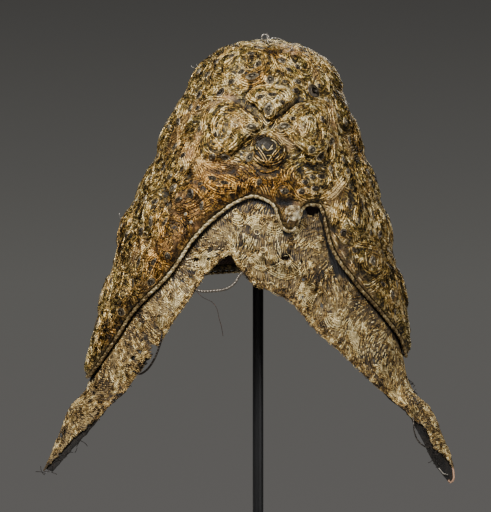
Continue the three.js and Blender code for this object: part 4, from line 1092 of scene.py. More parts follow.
def motif_cords(chosen, reaches, radius, steps):
    """Cords on nested ovals round the chosen motifs, as one part."""
    turn, run = motif_ring(chosen, np.asarray(reaches)[None, :, None], circle(steps))
    everyone = motif_reach(turn, run)
    number = np.broadcast_to(chosen[:, None, None, None], (*turn.shape, 1))
    own = np.take_along_axis(everyone, number, -1)[..., 0]
    np.put_along_axis(everyone, number, 9.0, -1)
    mine = fade(everyone.min(-1) - own, -0.1, 0.05)
    points, normals = on_top(turn, run), outward(turn, run)
    sound = fade(ripple(points, 16, 23), -0.95, -0.7)
    thick = radius * mine * sound * room_for(turn, run) * (1 + 0.22 * ripple(points, 9, 31))
    points = points + normals * (0.5 * thick)[..., None]
    tone = 0.42 + 0.32 * rng.random((len(chosen), len(reaches), 1)) + 0.12 * ripple(points, 22, 41)
    tone = tone + 0.2 * ripple(points, 5, 42)
    values = {key: value.reshape(-1, steps) for key, value in paint(turn, run, tone).items()}
    return sweep(points.reshape(-1, steps, 3), normals.reshape(-1, steps, 3), thick.reshape(-1, steps),
                 closed=True, flat=0.85, values=values)


front_set, back_set = np.arange(len(front_motifs)), np.arange(len(front_motifs), len(motifs))
main_reaches, far_reaches = [0.34, 0.56, 0.86, 0.98], [1.1, 1.23, 1.36, 1.5, 1.66]
put("front_couched_cords", [
    motif_cords(front_set, main_reaches, 0.66, 72),
    motif_cords(front_set, far_reaches, 0.55, 84),
], gilt_thread)
put("side_and_back_couched_cords", [
    motif_cords(back_set, main_reaches, 0.7, 44),
    motif_cords(back_set, far_reaches, 0.6, 52),
], gilt_thread)

# %% [markdown]
# ## Short coils of wire
# Between the rows the cap is packed with purl: short lengths of coiled gilt wire, sewn down like beads.
# They follow the rows in most places and stand across them as rays in others. Each coil is a short bent
# cord; its place is drawn at random over the surface by area, then moved to the nearest row.

# %% Purl over the whole crown
step_round = np.linalg.norm(np.diff(grid_place[:-1], axis=1), axis=-1)
step_down = np.linalg.norm(np.diff(grid_place[:, :-1], axis=0), axis=-1)
cell_area = step_round * step_down * (from_hem[:-1, :-1] > 2)


def purl(count, seed, low_turn, high_turn, steps, radius=0.54):
    """Coils at seeded places between two turns. A coil at distance r from its motif's middle bends by 1/r."""
    rng = np.random.default_rng(seed)
    weight = cell_area * ((grid_turn[:-1, :-1] >= low_turn) & (grid_turn[:-1, :-1] < high_turn))
    cell = rng.choice(weight.size, count, p=weight.ravel() / weight.sum())
    row, column = np.unravel_index(cell, weight.shape)
    turn = table_turn[column] + rng.random(count) * (table_turn[1] - table_turn[0])
    run = table_run[row] + rng.random(count) * (table_run[1] - table_run[0])
    reach = motif_reach(turn, run)
    near = reach.argmin(-1)
    tilt = motif_tilt[near]
    x, y = rotated(*offset_from(turn, run, motif_turn[near], motif_run[near]), -tilt)
    reach = reach.min(-1)
    row_reach = (np.round(reach / 0.12 - 0.5) + 0.5) * 0.12
    x, y = x * row_reach / reach, y * row_reach / reach
    slope = unit(np.stack([x / motif_wide[near] ** 2, y / motif_tall[near] ** 2], -1))
    way = np.stack([-slope[:, 1], slope[:, 0]], -1)
    rays = rng.random(count) < np.where((row_reach > 0.4) & (row_reach < 0.9), 0.45, 0.12)
    heading = rotated(*np.where(rays[:, None], slope, way).T, rng.normal(0, 0.16, count))
    half_length = np.where(rays, rng.uniform(1.1, 1.9, count), rng.uniform(2.0, 4.2, count))
    bend = np.where(rays, 0.0, -1 / np.maximum(np.hypot(x, y), 3))
    s = np.linspace(-1, 1, steps)[None] * half_length[:, None]
    path_x, path_y = (at[:, None] + go[:, None] * s + turned_to[:, None] * (bend[:, None] * s**2 / 2)
                      for at, go, turned_to in zip((x, y), heading, slope.T))
    path_turn, path_run = besides(motif_turn[near, None], motif_run[near, None],
                                  *rotated(path_x, path_y, tilt[:, None]))
    kept = (room_for(path_turn, path_run).min(1) > 0.5) & (rng.random(count) > 0.75 * worn_at(turn, run))
    ends = 1.05 - 0.45 * np.linspace(-1, 1, steps) ** 2
    thick = radius * ends * rng.uniform(0.75, 1.2, (count, 1))
    points, normals = on_top(path_turn, path_run), outward(path_turn, path_run)
    points = points + normals * (0.55 * thick)[..., None]
    tone = 0.3 + 0.55 * rng.random((count, 1)) + 0.15 * ripple(points, 20, 7)
    values = {key: value[kept] for key, value in paint(path_turn, path_run, tone).items()}
    return sweep(points[kept], normals[kept], thick[kept], flat=0.9, values=values)


put("front_purl", [purl(6400, 3, -92, 92, 4)], purl_wire)
put("back_purl", [purl(2200, 4, -180, -92, 3), purl(2200, 5, 92, 180, 3)], purl_wire)

# %% [markdown]
# ## Ornament read off the photograph
# The front has a drawing of its own: bowls, leaves and sweeping bundles of two to five cords. Each bundle
# is a short table row: how many cords, the gap between them, their radius, their tone and a few pixels
# that they pass. The pixels become places on the form, and the cords lie side by side along them.

# %% Bundles of cord on the front
def bundle(count, gap, radius, tone, *pixels):
    """Cords beside one smooth path. Each is moved across it by a multiple of the gap, in the surface, and
    they lie 0.3 mm above the rows."""
    turn, run = along_pixels(pixels, 1.6).T
    across, up = np.gradient(np.radians(turn)) * half_of(run), -np.gradient(run)
    size = np.maximum(np.hypot(across, up), 1e-6)
    shift = (np.arange(count) - (count - 1) / 2)[:, None] * gap
    turns = turn + np.degrees(-shift * up / size / half_of(run))
    runs = run - shift * across / size
    end = np.sin(np.pi * (np.arange(len(turn)) + 0.5) / len(turn)) ** 0.25
    points, normals = on_top(turns, runs), outward(turns, runs)
    thick = 0.82 * radius * end * (1 + 0.15 * ripple(points, 6, 12))
    thick *= fade(hem_at(turns) - runs, 0.8, 2)
    thick *= 1 - fade(shaded_hollow_at(turns, runs), 0.4, 0.8)
    points = points + normals * (0.5 * thick + 0.3)[..., None]
    tones = tone + 0.12 * ripple(points, 12, 9) + 0.08 * (np.arange(count) % 2)[:, None]
    return sweep(points, normals, thick, 5, values=paint(turns, runs, tones))


# count, gap, radius, tone, then x and y of each pixel
front_bundles = [
    # the crown's top
    (3, 1.7, 0.75, 0.72, 234, 74, 237, 80, 243, 84.5, 251, 86, 259, 83, 265, 76, 267, 68, 265, 60, 262, 56),
    (2, 1.6, 0.7, 0.68, 273, 56, 277, 66, 284, 75, 291, 83, 295, 88),
    (2, 1.6, 0.6, 0.62, 277, 54, 286, 60, 295, 66, 302, 76, 304, 86),
    (2, 1.7, 0.7, 0.72, 299, 49, 312, 57, 323, 70, 328, 84, 329, 92),
    (2, 1.7, 0.6, 0.55, 306, 62, 315, 71, 320, 82, 321, 93),
    (3, 1.6, 0.6, 0.55, 247, 44, 234, 48, 222, 56, 213, 68, 208, 82),
    (2, 1.6, 0.6, 0.6, 241, 54, 230, 60, 223, 69, 223, 80, 228, 88),
    (2, 1.6, 0.6, 0.6, 196, 96, 205, 89, 216, 87, 226, 91),
    (2, 1.5, 0.55, 0.62, 252, 50, 247, 52, 245, 56, 248, 60, 254, 60, 258, 56, 256, 51),
    # round the quatrefoil
    (2, 1.8, 0.8, 0.7, 233, 102, 221, 98, 208, 99, 198, 106, 190, 117),
    (3, 1.7, 0.7, 0.62, 214, 104, 206, 112, 203, 124, 206, 136, 198, 146, 196, 156, 199, 164),
    (2, 1.8, 0.85, 0.8, 307, 101, 318, 102, 327, 109, 329.5, 120, 327, 131, 332, 143, 333, 155, 328, 165),
    (2, 1.7, 0.7, 0.68, 318, 99, 333, 107, 337, 121, 337, 135, 342, 148, 341, 162, 336, 172),
    # petal_top
    (2, 1.6, 0.7, 0.72, 246, 104, 249, 96, 257, 91, 268, 89, 279, 91, 287, 97, 288, 105),
    (2, 1.5, 0.6, 0.55, 252, 106, 256, 99, 263, 95.5, 272, 95, 280, 98, 283, 105),
    (2, 1.4, 0.6, 0.8, 259, 113, 262, 104, 267.5, 101, 273, 104, 276, 112, 268, 124, 259, 113),
    (1, 1.5, 0.8, 0.9, 241, 111, 249, 118, 257, 126, 264, 132),
    # petal_left
    (2, 1.6, 0.75, 0.75, 240, 109, 228, 111, 219, 118, 215, 128, 216, 138, 221, 147, 229, 154),
    (2, 1.6, 0.65, 0.6, 243, 113, 232, 117, 225, 124, 223, 133, 227, 142, 235, 149),
    (2, 1.5, 0.6, 0.85, 245, 117, 237, 121, 232, 128, 233, 136, 239, 142),
    (2, 1.4, 0.6, 0.82, 263, 129.5, 256, 123.5, 248, 123.5, 242, 128.5, 247, 134, 256, 134.5, 263, 129.5),
    (2, 1.5, 0.6, 0.7, 198, 148, 199, 157, 205, 164.5, 215, 168, 225, 167.5, 233, 163),
    (1, 1.5, 0.6, 0.75, 205, 150, 207, 158, 215, 162, 224, 160, 229, 154),
    (1, 1.5, 0.55, 0.85, 210, 149, 213, 154, 221, 157),
    (2, 1.4, 0.6, 0.65, 243, 146, 250, 141, 257, 137, 262, 134),
    # petal_right
    (2, 1.6, 0.7, 0.42, 301, 103, 312, 106, 320, 113, 323, 123, 321, 132, 315, 138),
    (2, 1.6, 0.65, 0.5, 297, 108, 307, 112, 314, 119, 315, 129, 311, 138, 303, 145),
    (2, 1.5, 0.65, 0.85, 292, 114, 301, 117, 306, 125, 304, 134, 297, 141),
    (2, 1.4, 0.6, 0.88, 272, 129.5, 278, 122.5, 287, 121.5, 294, 127, 290, 133.5, 281, 134.5, 272, 129.5),
    (2, 1.5, 0.6, 0.5, 305, 147, 303, 155, 308, 162, 318, 163, 326, 158, 328, 149),
    (1, 1.5, 0.6, 0.9, 311, 161, 317, 155, 324, 149.5),
    (1, 1.5, 0.5, 0.7, 314, 163, 320, 158, 326, 153),
    # the crossing and the boss
    (2, 1.6, 0.75, 0.9, 269, 131, 276, 135, 284, 140, 294, 146),
    (2, 1.6, 0.6, 0.6, 252, 148, 258, 141, 266, 138, 274, 141, 281, 148),
    (1, 1.6, 0.6, 0.62, 251, 152, 250.5, 160, 256, 168, 266, 172, 276, 169, 283, 160, 284, 151),
    (2, 1.4, 0.5, 0.7, 257, 150, 262, 157, 267.5, 164, 273, 157, 279, 150),
    (1, 1.4, 0.5, 0.62, 262, 148, 267, 154, 272, 148),
    (1, 1.4, 0.45, 0.55, 255, 155, 261, 162, 267, 168.5, 274, 162, 281, 155),
    # under the left petal
    (4, 1.6, 0.65, 0.78, 197, 156, 203, 165, 212, 171, 224, 176, 238, 183),
    (4, 1.6, 0.65, 0.72, 196, 162, 201, 175, 209, 185, 222, 191, 238, 189),
    (1, 1.6, 0.8, 0.85, 205, 176, 210, 183, 219, 187, 230, 187),
    (2, 1.7, 0.85, 0.9, 190, 186, 198, 191, 204, 199),
    (2, 1.6, 0.6, 0.6, 178, 206, 186, 207, 192, 214, 195, 222),
    (2, 1.6, 0.6, 0.6, 171, 178, 166, 187, 168, 198, 176, 206),
    (3, 1.7, 0.8, 0.82, 187, 141, 185, 152, 187, 165, 184, 178),
    # under the right petal
    (3, 1.6, 0.65, 0.7, 293, 188, 298, 196, 309, 200, 322, 198, 334, 190, 341, 180, 344, 170),
    (2, 1.6, 0.6, 0.6, 301, 175, 306, 169, 316, 167, 325, 171, 329, 180, 325, 189, 315, 192, 305, 189, 300,
     182),
    (2, 1.7, 0.9, 0.88, 331, 199, 339, 191, 345, 181, 348, 172),
    (2, 1.6, 0.6, 0.6, 251, 172, 257, 178, 267, 181, 277, 178, 283, 171),
    (3, 1.6, 0.65, 0.75, 246, 198, 248, 188, 254, 179, 263, 186, 268, 196),
    (2, 1.6, 0.6, 0.7, 236, 196, 238, 186, 246, 176),
    (2, 1.6, 0.6, 0.65, 272, 198, 274, 189, 283, 183, 291, 187),
    # the left side
    (2, 1.8, 0.75, 0.68, 172, 120, 165, 137, 159, 153, 155, 170, 151, 186),
    (2, 1.8, 0.7, 0.6, 181, 112, 177, 127, 178, 141, 173, 154, 165, 168, 161, 182),
    (3, 1.7, 0.7, 0.62, 150, 190, 152, 205, 149, 220, 140, 236, 131, 251, 125, 268, 118, 286),
    (3, 1.7, 0.7, 0.7, 163, 205, 160, 219, 163, 233, 158, 247, 149, 262, 146, 278, 138, 290),
    (3, 1.6, 0.7, 0.72, 140, 233, 143, 245, 148, 256, 152, 252),
    (2, 1.6, 0.65, 0.7, 163, 243, 160, 255, 156, 266, 151, 279),
    (3, 1.7, 0.7, 0.6, 122, 262, 123, 276, 120, 290, 112, 304, 106, 318, 101, 332, 97, 346),
    (2, 1.7, 0.65, 0.66, 133, 277, 131, 290, 124, 303, 117, 316, 110, 328),
    (2, 1.6, 0.7, 0.74, 150, 283, 141, 293, 131, 305, 121, 318, 112, 331, 105, 343),
    # the right side
    (2, 1.8, 0.75, 0.62, 347, 110, 352, 124, 357, 141, 361, 156, 366, 172),
    (3, 1.7, 0.7, 0.6, 346, 163, 352, 176, 356, 192, 354, 208, 352, 222),
    (2, 1.7, 0.7, 0.66, 362, 168, 367, 184, 375, 199, 381, 214, 386, 230, 387, 246),
    (3, 1.7, 0.7, 0.56, 366, 182, 364, 198, 365, 214, 370, 230, 374, 243),
    (3, 1.6, 0.75, 0.6, 338, 205, 336, 217, 333, 228),
    (2, 1.7, 0.65, 0.56, 344, 200, 345, 214, 341, 228, 345, 241),
    (3, 1.7, 0.7, 0.66, 352, 232, 357, 243, 368, 247, 380, 251, 386, 262, 384, 274, 376, 280),
    (2, 1.7, 0.65, 0.6, 361, 252, 370, 254, 378, 260, 379, 269, 372, 273, 364, 268, 361, 259),
    (3, 1.7, 0.7, 0.55, 392, 262, 393, 277, 397, 291, 401, 305, 405, 319),
    (3, 1.7, 0.7, 0.62, 372, 284, 382, 292, 391, 304, 397, 318, 401, 334),
    # the pale strip inside the edging
    (4, 1.4, 0.75, 0.88, 325, 222, 331, 235, 339, 250, 351, 267, 363, 283, 374, 297, 386, 311),
    (3, 1.6, 0.7, 0.85, 324, 203, 331, 209, 331, 217),
]
put("front_cord_bundles", [bundle(*row) for row in front_bundles], gilt_thread)

# %% [markdown]
# ## Dark eyes
# Small ovals and diamonds of card, wound with flat dark wire, look out between the cords. Each is a low
# dome on an outline that goes from an oval to a diamond with one power, and a ring of cord lies round it.
# Those that show in the photograph come from its table; more stand wherever the crown has room for one.

# %% Domes of foil with a ring of cord
def eyes(turn, run, wide, tall, tilt, power, tone):
    """Domed eyes: rings at shares s of an outline 1 / (|cos|^p + |sin|^p)^(1/p), raised by sqrt(1 - s^2)."""
    corners, s = 14, np.array([1.0, 0.97, 0.8, 0.45])[:, None]
    angle = circle(corners)
    turn, run, wide, tall, tilt, power = (
        np.reshape(value, (-1, 1, 1)) for value in (turn, run, wide, tall, tilt, power))
    shape = (np.abs(np.cos(angle)) ** power + np.abs(np.sin(angle)) ** power) ** (-1 / power)
    x, y = wide * s * shape * np.cos(angle), tall * s * shape * np.sin(angle)
    turn, run = besides(turn, run, *rotated(x, y, np.radians(tilt)))
    dome = np.sqrt(np.maximum(1 - s**2, 0)) + np.where(s > 0.99, -0.6, 0.6)
    parts = []
    for grid, eye_tone, uv in zip(on_top(turn, run, dome), tone, np.stack([x, y], -1)):
        part = skin(grid, wrap=True, uv=uv, values={"tone": np.full(grid[..., 0].size, eye_tone)})
        parts.append(fan(part, grid[-1].mean(0), (len(grid) - 1) * corners + np.arange(corners)))
    turn, run = turn[:, 0], run[:, 0]
    ring = on_top(turn, run, 0.45)
    tones = 0.78 + 0.2 * ripple(ring, 30, 2)
    return parts, sweep(ring, outward(turn, run), 0.5, closed=True, values=paint(turn, run, tones))


# The small eyes of the photograph are leaf shaped: their outline is sharpened by a tenth.
table = np.array(front_eyes)
places = seen_at(table[:, :2])
half_wide, half_tall = 1.15 * pixel_size * table[:, 2], 1.15 * pixel_size * table[:, 3]
eye_parts, eye_rings = eyes(*places.T, half_wide, half_tall, table[:, 4], 0.9 * table[:, 5], table[:, 6])
heart_turn, heart_run = motif_ring(np.arange(len(motifs)), np.zeros((1, 1, 1)), 0.0)
rng = np.random.default_rng(29)
heart_turn = np.concatenate([heart_turn.ravel(), rng.uniform(-180, 180, 420)])
heart_run = np.concatenate([heart_run.ravel(), rng.uniform(14, 270, 420)])
hearts, number = on_form(heart_turn, heart_run), np.arange(len(heart_turn))
heart_gap = np.linalg.norm(hearts[:, None] - on_form(*places.T)[None], axis=-1).min(1)
near_one = np.linalg.norm(hearts[:, None] - hearts[None], axis=-1) < 11
earlier = (near_one & (number[None] < number[:, None])).any(1)
alone = (heart_gap > 8) & ~earlier & (room_for(heart_turn, heart_run) > 0.9)
count = int(alone.sum())
print(count, "more eyes over the crown")
heart_parts, heart_rings = eyes(heart_turn[alone], heart_run[alone], rng.uniform(1.8, 3.4, count),
                                rng.uniform(2.4, 4.4, count), rng.uniform(-50, 50, count),
                                rng.choice([1.2, 1.4, 1.8], count), rng.uniform(0.1, 0.7, count))
put("foil_eyes", eye_parts + heart_parts, grey_foil)
put("eye_ring_cords", [eye_rings, heart_rings], gilt_thread)

# %% [markdown]
# ## Chains of small rings
# On the sides run chains of little rings of fine cord. Here a ring is a closed path that is repeated at
# even steps along a line through pixels.

# %% Rings in rows
# x and y of the pixels that each chain goes through, with a ring every 3.4 mm
front_chains = [
    [155, 168, 149, 190, 142, 215, 133, 240, 122, 270, 112, 300, 104, 330, 96, 352],
    [166, 163, 165, 190, 160, 215, 150, 245, 138, 275, 128, 300, 114, 325],
    [176, 118, 170, 140, 163, 160, 157, 180], [146, 200, 138, 225, 127, 250, 118, 275, 108, 305],
    [186, 124, 183, 140, 180, 156, 174, 172], [170, 196, 170, 214, 166, 232, 158, 252, 148, 270],
    [361, 150, 364, 175, 372, 200, 381, 225, 390, 260, 399, 290, 405, 320],
    [348, 150, 352, 172, 359, 195, 366, 214, 376, 240], [336, 92, 345, 110, 352, 130, 357, 148],
    [340, 205, 338, 222, 344, 240], [379, 270, 388, 284, 394, 304, 399, 326],
    [213, 122, 212, 132, 216, 143, 222, 151], [318, 112, 319.5, 122, 318, 131],
    [225, 50, 214, 62, 206, 76, 201, 88], [312, 52, 324, 64, 332, 80], [249, 62, 244, 68, 247, 75],
    [280, 66, 288, 74, 296, 76], [240, 92, 228, 93, 216, 94], [258, 176, 268, 185, 280, 180],
    [300, 180, 305, 190, 318, 193, 330, 184],
]


def chain_rings(lines, gap=3.4, size=1.15, thread=0.36):
    """Small closed rings at even steps along lines: centre + size (cos a, sin a) in the surface."""
    places = np.concatenate([along_pixels(line, gap / pixel_size) for line in lines])
    x, y = size * np.cos(circle(8)), 1.2 * size * np.sin(circle(8))
    turn, run = besides(places[:, :1], places[:, 1:], x, y)
    points = on_top(turn, run, 0.9)
    tones = 0.6 + 0.25 * ripple(points[:, :1], 25, 91)
    print(len(places), "rings in chains")
    free = np.minimum(room_for(turn, run) + on_petal(turn, run), 1)
    return sweep(points, outward(turn, run), thread * free, closed=True,
                 values=paint(turn, run, tones + 0 * run))


put("chain_rings", [chain_rings(front_chains)], gilt_thread)

# %% [markdown]
# ## Cords and coils on the petals
# Each petal is worked in rows that run parallel to its edge, so a row is the petal's outline drawn a fixed
# distance inside it. Between the rows lie short coils.

# %% Rows on the petals
def petal_rows(name, insets, radius, tone):
    """Closed cords at fixed distances inside a petal's outline. Where that is near the middle they end."""
    angle, insets = circle(96), np.asarray(insets)[:, None]
    out = 1 - insets / petal_outline(name)[1](angle)
    size = radius * fade(out, 0.16, 0.3)
    out = np.maximum(out, 0.12)
    turn, run = petal_place(name, out, angle)
    points, normals = off_form(turn, run, petal_lift(name, out)), outward(turn, run)
    size = size * (1 + 0.2 * ripple(points, 7, 51)) * (1 - fade(eye_at(turn, run), 0.3, 0.5))
    points = points + normals * (0.45 * size)[..., None]
    band = fade(insets, 2, 4) * (1 - fade(insets, 11, 15))
    tones = tone - 0.12 * band + 0.18 * ripple(points, 7, 61)
    return sweep(points, normals, size, closed=True, values=paint(turn, run, tones))


def petal_purl(name, count, seed, tone):
    """Short coils on a petal: across the rows in a middle band and along them elsewhere."""
    rng = np.random.default_rng(seed)
    angle = rng.uniform(0, 2 * np.pi, count)[:, None]
    out = np.sqrt(rng.uniform(0.03, 0.92, count))[:, None]
    rays = rng.random(count)[:, None] < np.where((out > 0.45) & (out < 0.75), 0.6, 0.2)
    long, short = rng.uniform(1.0, 1.8, count), rng.uniform(1.6, 3.2, count)
    step = np.where(rays, long[:, None], short[:, None]) * np.linspace(-1, 1, 5)
    reach = petal_outline(name)[1](angle)
    out_path = out + np.where(rays, step / reach, 0)
    angle_path = angle + np.where(rays, 0, step / np.maximum(out * reach, 3))
    turn, run = petal_place(name, np.clip(out_path, 0.02, 0.97), angle_path)
    thick = 0.55 * np.array([0.55, 1, 1.05, 1, 0.55]) * rng.uniform(0.75, 1.2, (count, 1))
    thick = thick * (1 - fade(eye_at(turn, run), 0.3, 0.5))
    normals = outward(turn, run)
    points = off_form(turn, run, petal_lift(name, np.clip(out_path, 0, 1)))
    points = points + normals * (0.6 * thick)[..., None]
    tones = tone + 0.2 * np.where(out < 0.42, 1, -1) + 0.4 * (rng.random((count, 1)) - 0.5)
    return sweep(points, normals, thick, flat=0.9, values=paint(turn, run, tones))


gold_rows = [petal_rows("petal_top", [0.7, 2.4, 4.1, 7.4], 0.7, 0.84),
             petal_rows("petal_left", [0.7, 2.4, 4.1, 8.2, 9.9, 14], 0.7, 0.7),
             petal_rows("petal_right", [0.7, 2.4, 4.1, 8.2, 9.9, 14], 0.7, 0.78),
             petal_rows("centre_boss", [0.8, 2.3], 0.6, 0.75)]
put("petal_row_cords", gold_rows, gilt_thread)
put("petal_purl", [petal_purl("petal_top", 150, 71, 0.9), petal_purl("petal_left", 330, 72, 0.76),
                   petal_purl("petal_right", 300, 73, 0.76), petal_purl("centre_boss", 34, 74, 0.5)],
    purl_wire)

# %% [markdown]
# ## A scrap of gold tissue
# A crumpled scrap of pale gold tissue is caught on the small tab over the brow. Its face is the tab's own
# surface plus noise of about five millimetres.

# %% The crumpled scrap
angle, out = circle(40), np.linspace(0.06, 1, 14)[:, None]
x, y = 294.5 + (9.5 - 1.5 * np.sin(angle)) * out * np.cos(angle), 213 + 8 * out * np.sin(angle)
scrap_turn, scrap_run = seen_at(np.stack([x, y], -1)).T.reshape(2, *x.shape)
bare_scrap = on_form(scrap_turn, scrap_run)
crumple = ripple(bare_scrap, 5.5, 78) + 0.4 * ripple(bare_scrap, 2.5, 79)
scrap = off_form(scrap_turn, scrap_run, crown_lift(scrap_turn, scrap_run) + 1.3 + 0.8 * crumple * out)
tissue = cloth_finish("gold_tissue", [(0.4, "#4d3a1c"), (0.49, "#b3945a"), (0.58, "#fbeec6")], 0.45, 1.0,
                      3.0, 0.6)
tissue_scrap = put("tissue_scrap", [closed_round(scrap, scrap[0].mean(0))], tissue)
scrap_area = thicken(tissue_scrap, 0.3)
print(f"tissue scrap: {scrap_area * 1e6:.0f} mm2")

# %% [markdown]
# ## The corded edging
# The hem is bound with a thick cord of two strands, twisted together. A strand is a circle carried along
# the hem's path while its middle turns round that path once every nine millimetres.

# %% Two strands along the hem
def edging_path(steps=1400):
    """The cord's middle line, just under the crown's rim, at even steps, with its two cross directions."""
    turn = np.linspace(-180, 180, 6001)
    run = hem_at(turn)
    rim_line = off_form(turn, run, -4.25)
    along = unit(np.gradient(rim_line, axis=0))
    below = unit(np.cross(along, outward(turn, run)))
    centre = rim_line + 1.8 * below
    length = lengths_along(centre)
    even = np.linspace(0, length[-1], steps, endpoint=False)
    centre, along, below = (np.stack([np.interp(even, length, column) for column in line.T], -1)
                            for line in (centre, along, below))
    return centre, below, np.cross(below, along), even, length[-1], np.interp(even, length, turn)


centre, below, ahead, even, whole, cord_turn = edging_path()
turns_of_rope = round(whole / 9)
strands = []
for half_turn in (0, np.pi):
    angle = 2 * np.pi * turns_of_rope * even / whole + half_turn
    offset = 0.42 * (np.cos(angle)[:, None] * ahead + np.sin(angle)[:, None] * below)
    strand = (centre + offset)[None]
    tone = 0.68 - 0.2 * fade(np.abs(cord_turn + 8), 30, 44) + 0.16 * ripple(strand, 12, 81)
    tone = tone + 0.2 * ripple(strand, 2.4, 82)
    size = 1.0 + 0.1 * ripple(strand, 9, 83)
    strands.append(sweep(strand, ahead[None], size, 6, closed=True, values={"tone": tone}))
put("edging_rope", strands, edging_cord, ["edge_piping"])
print(f"edging: {whole:.0f} mm of two-strand cord")

# %% [markdown]
# ## The lace
# The lace is bobbin lace of silver-gilt thread: fans round small holes, joined by patches of streaked
# threads, with a looped edge. It is one band that is sewn under the hem from one lappet's point over the
# arch to the other's. A place on it is again a pair: along, from 0 to 1, and share, from its upper edge to
# its lower one.

# %% The band
# upper turn and down, then lower turn and down, from the left lappet's point to the right one's
lace_stations = np.array([
    [-73.2, 1.88, -67.4, 1.892], [-74.1, 1.657, -63.7, 1.716], [-79.1, 1.392, -53.6, 1.387],
    [-84, 1.233, -49.6, 1.198], [-86, 1.09, -46.3, 1.033], [-85, 0.955, -41.1, 0.968],
    [-76, 0.915, -37.4, 0.919], [-64, 0.845, -33.7, 0.859], [-45.4, 0.69, -26.6, 0.776],
    [-31.8, 0.572, -20.3, 0.696], [-21.2, 0.5, -16.2, 0.666], [-12.9, 0.462, -11.1, 0.639],
    [-3.3, 0.442, -7.2, 0.676], [5.6, 0.448, -1.1, 0.725], [15.8, 0.456, 8.3, 0.754],
    [23.8, 0.459, 14.4, 0.778], [31.5, 0.465, 18.9, 0.815], [37.4, 0.52, 23.7, 0.856],
    [40.5, 0.6, 28.5, 0.889], [46, 0.65, 34.6, 0.924], [55, 0.722, 41.7, 0.967],
    [66, 0.79, 51.5, 1.093], [78, 0.845, 55.8, 1.173], [84, 0.935, 57.5, 1.265],
    [85, 1.06, 58, 1.327], [84.5, 1.235, 60.5, 1.377], [79.1, 1.411, 59.6, 1.485],
    [75.7, 1.65, 60.7, 1.688], [73, 1.805, 63, 1.855], [67.5, 1.967, 64.5, 1.98],
])
station_number = np.arange(len(lace_stations))
top_turn, low_turn = (smooth_curve(station_number, lace_stations[:, i]) for i in (0, 2))
top_run, low_run = (smooth_curve(station_number, run_at(lace_stations[:, i])) for i in (1, 3))
upper_hem = smooth_curve([0.3, 0.4, 0.42, 0.46, 0.5, 0.54, 0.58, 0.62, 0.7],
                         [0.64, 0.64, 0.66, 0.7, 0.72, 0.72, 0.7, 0.66, 0.64])


def band_place(along, share):
    """Between the edges' curves: upper + share (lower - upper), for the turn and for the run."""
    at = along * (len(lace_stations) - 1)
    turn = top_turn(at) + share * (low_turn(at) - top_turn(at))
    return turn, top_run(at) + share * (low_run(at) - top_run(at))


def on_lace(along, share, above=0.0):
    """The lace's face: behind the crown's wall, in eleven folds that deepen downwards, with a lower layer
    set back over the brow, and with the lappets standing out again below the flaps."""
    turn, run = band_place(along, share)
    folds = (1 - np.cos(2 * np.pi * 11 * along)) / 2
    pleat = fade(along, 0.4, 0.45) * (1 - fade(along, 0.57, 0.62))
    hem = upper_hem(along) + 0.02 * np.cos(2 * np.pi * 62 * along)
    splay = 6 * fade(run, run_at(1.07), run_at(1.32))
    lift = -6.6 - 2.2 * folds * share - 3.5 * pleat * fade(share, hem, hem + 0.03) + splay
    return off_form(turn, run, lift + above)


lace_starts = np.stack(np.meshgrid(np.linspace(0, 1, 901), np.linspace(0, 1, 41)), -1).reshape(-1, 2)
lace_seen_at = sight(lambda p: on_photo(on_lace(*p.T)), lace_starts, (0.0005, 0.01), (0, 0), (1, 1))
# x, y, half width and half height in pixels
lace_holes = np.array([
    (286, 258, 4.5, 2.5), (291.7, 252, 3, 1.5), (257, 251, 2, 1.4), (263.7, 254, 1.6, 1.2),
    (195.8, 259.6, 4, 2), (208.6, 259, 2.6, 2), (183, 281, 2, 1.4), (190.7, 277.4, 2, 1.3),
    (301.4, 261, 1.6, 1.6), (303.5, 280, 1.6, 1.6), (303, 297.3, 2, 1.4), (266.7, 270.8, 1.4, 3.4),
    (321.3, 306, 1.6, 1.6), (312.5, 208.5, 7.5, 7), (89.3, 400.8, 1.6, 1.6), (93.8, 392.5, 1.4, 1.4),
    (96.6, 387.7, 1.4, 1.6), (61, 435, 1.6, 2.4), (64, 432, 1.4, 1.8), (374, 360, 1.4, 2),
    (387, 362.5, 1.4, 1.6), (133, 358, 2.4, 2.4), (140, 352, 2, 2), (228, 258, 1.6, 1.4), (154, 351, 4, 7),
    (147, 363, 4, 6),
])


def shaded_gap(turn):
    """How far down from the crown's hem the lace lies in shade: a width across the hem times
    sqrt(1 + slope^2). It is 4 mm wide, 5 over the brow and 9 inside the right flap."""
    slope = (hem_at(turn + 0.5) - hem_at(turn - 0.5)) / 1.7
    brow = 1 - fade(np.abs(turn + 8), 20, 28)
    flap = fade(turn, 18.5, 21) * (1 - fade(turn, 34, 46))
    return (4.1 + 1.0 * brow + 4.0 * flap) * np.minimum(np.sqrt(1 + slope**2), 1.3 + 1.7 * flap)


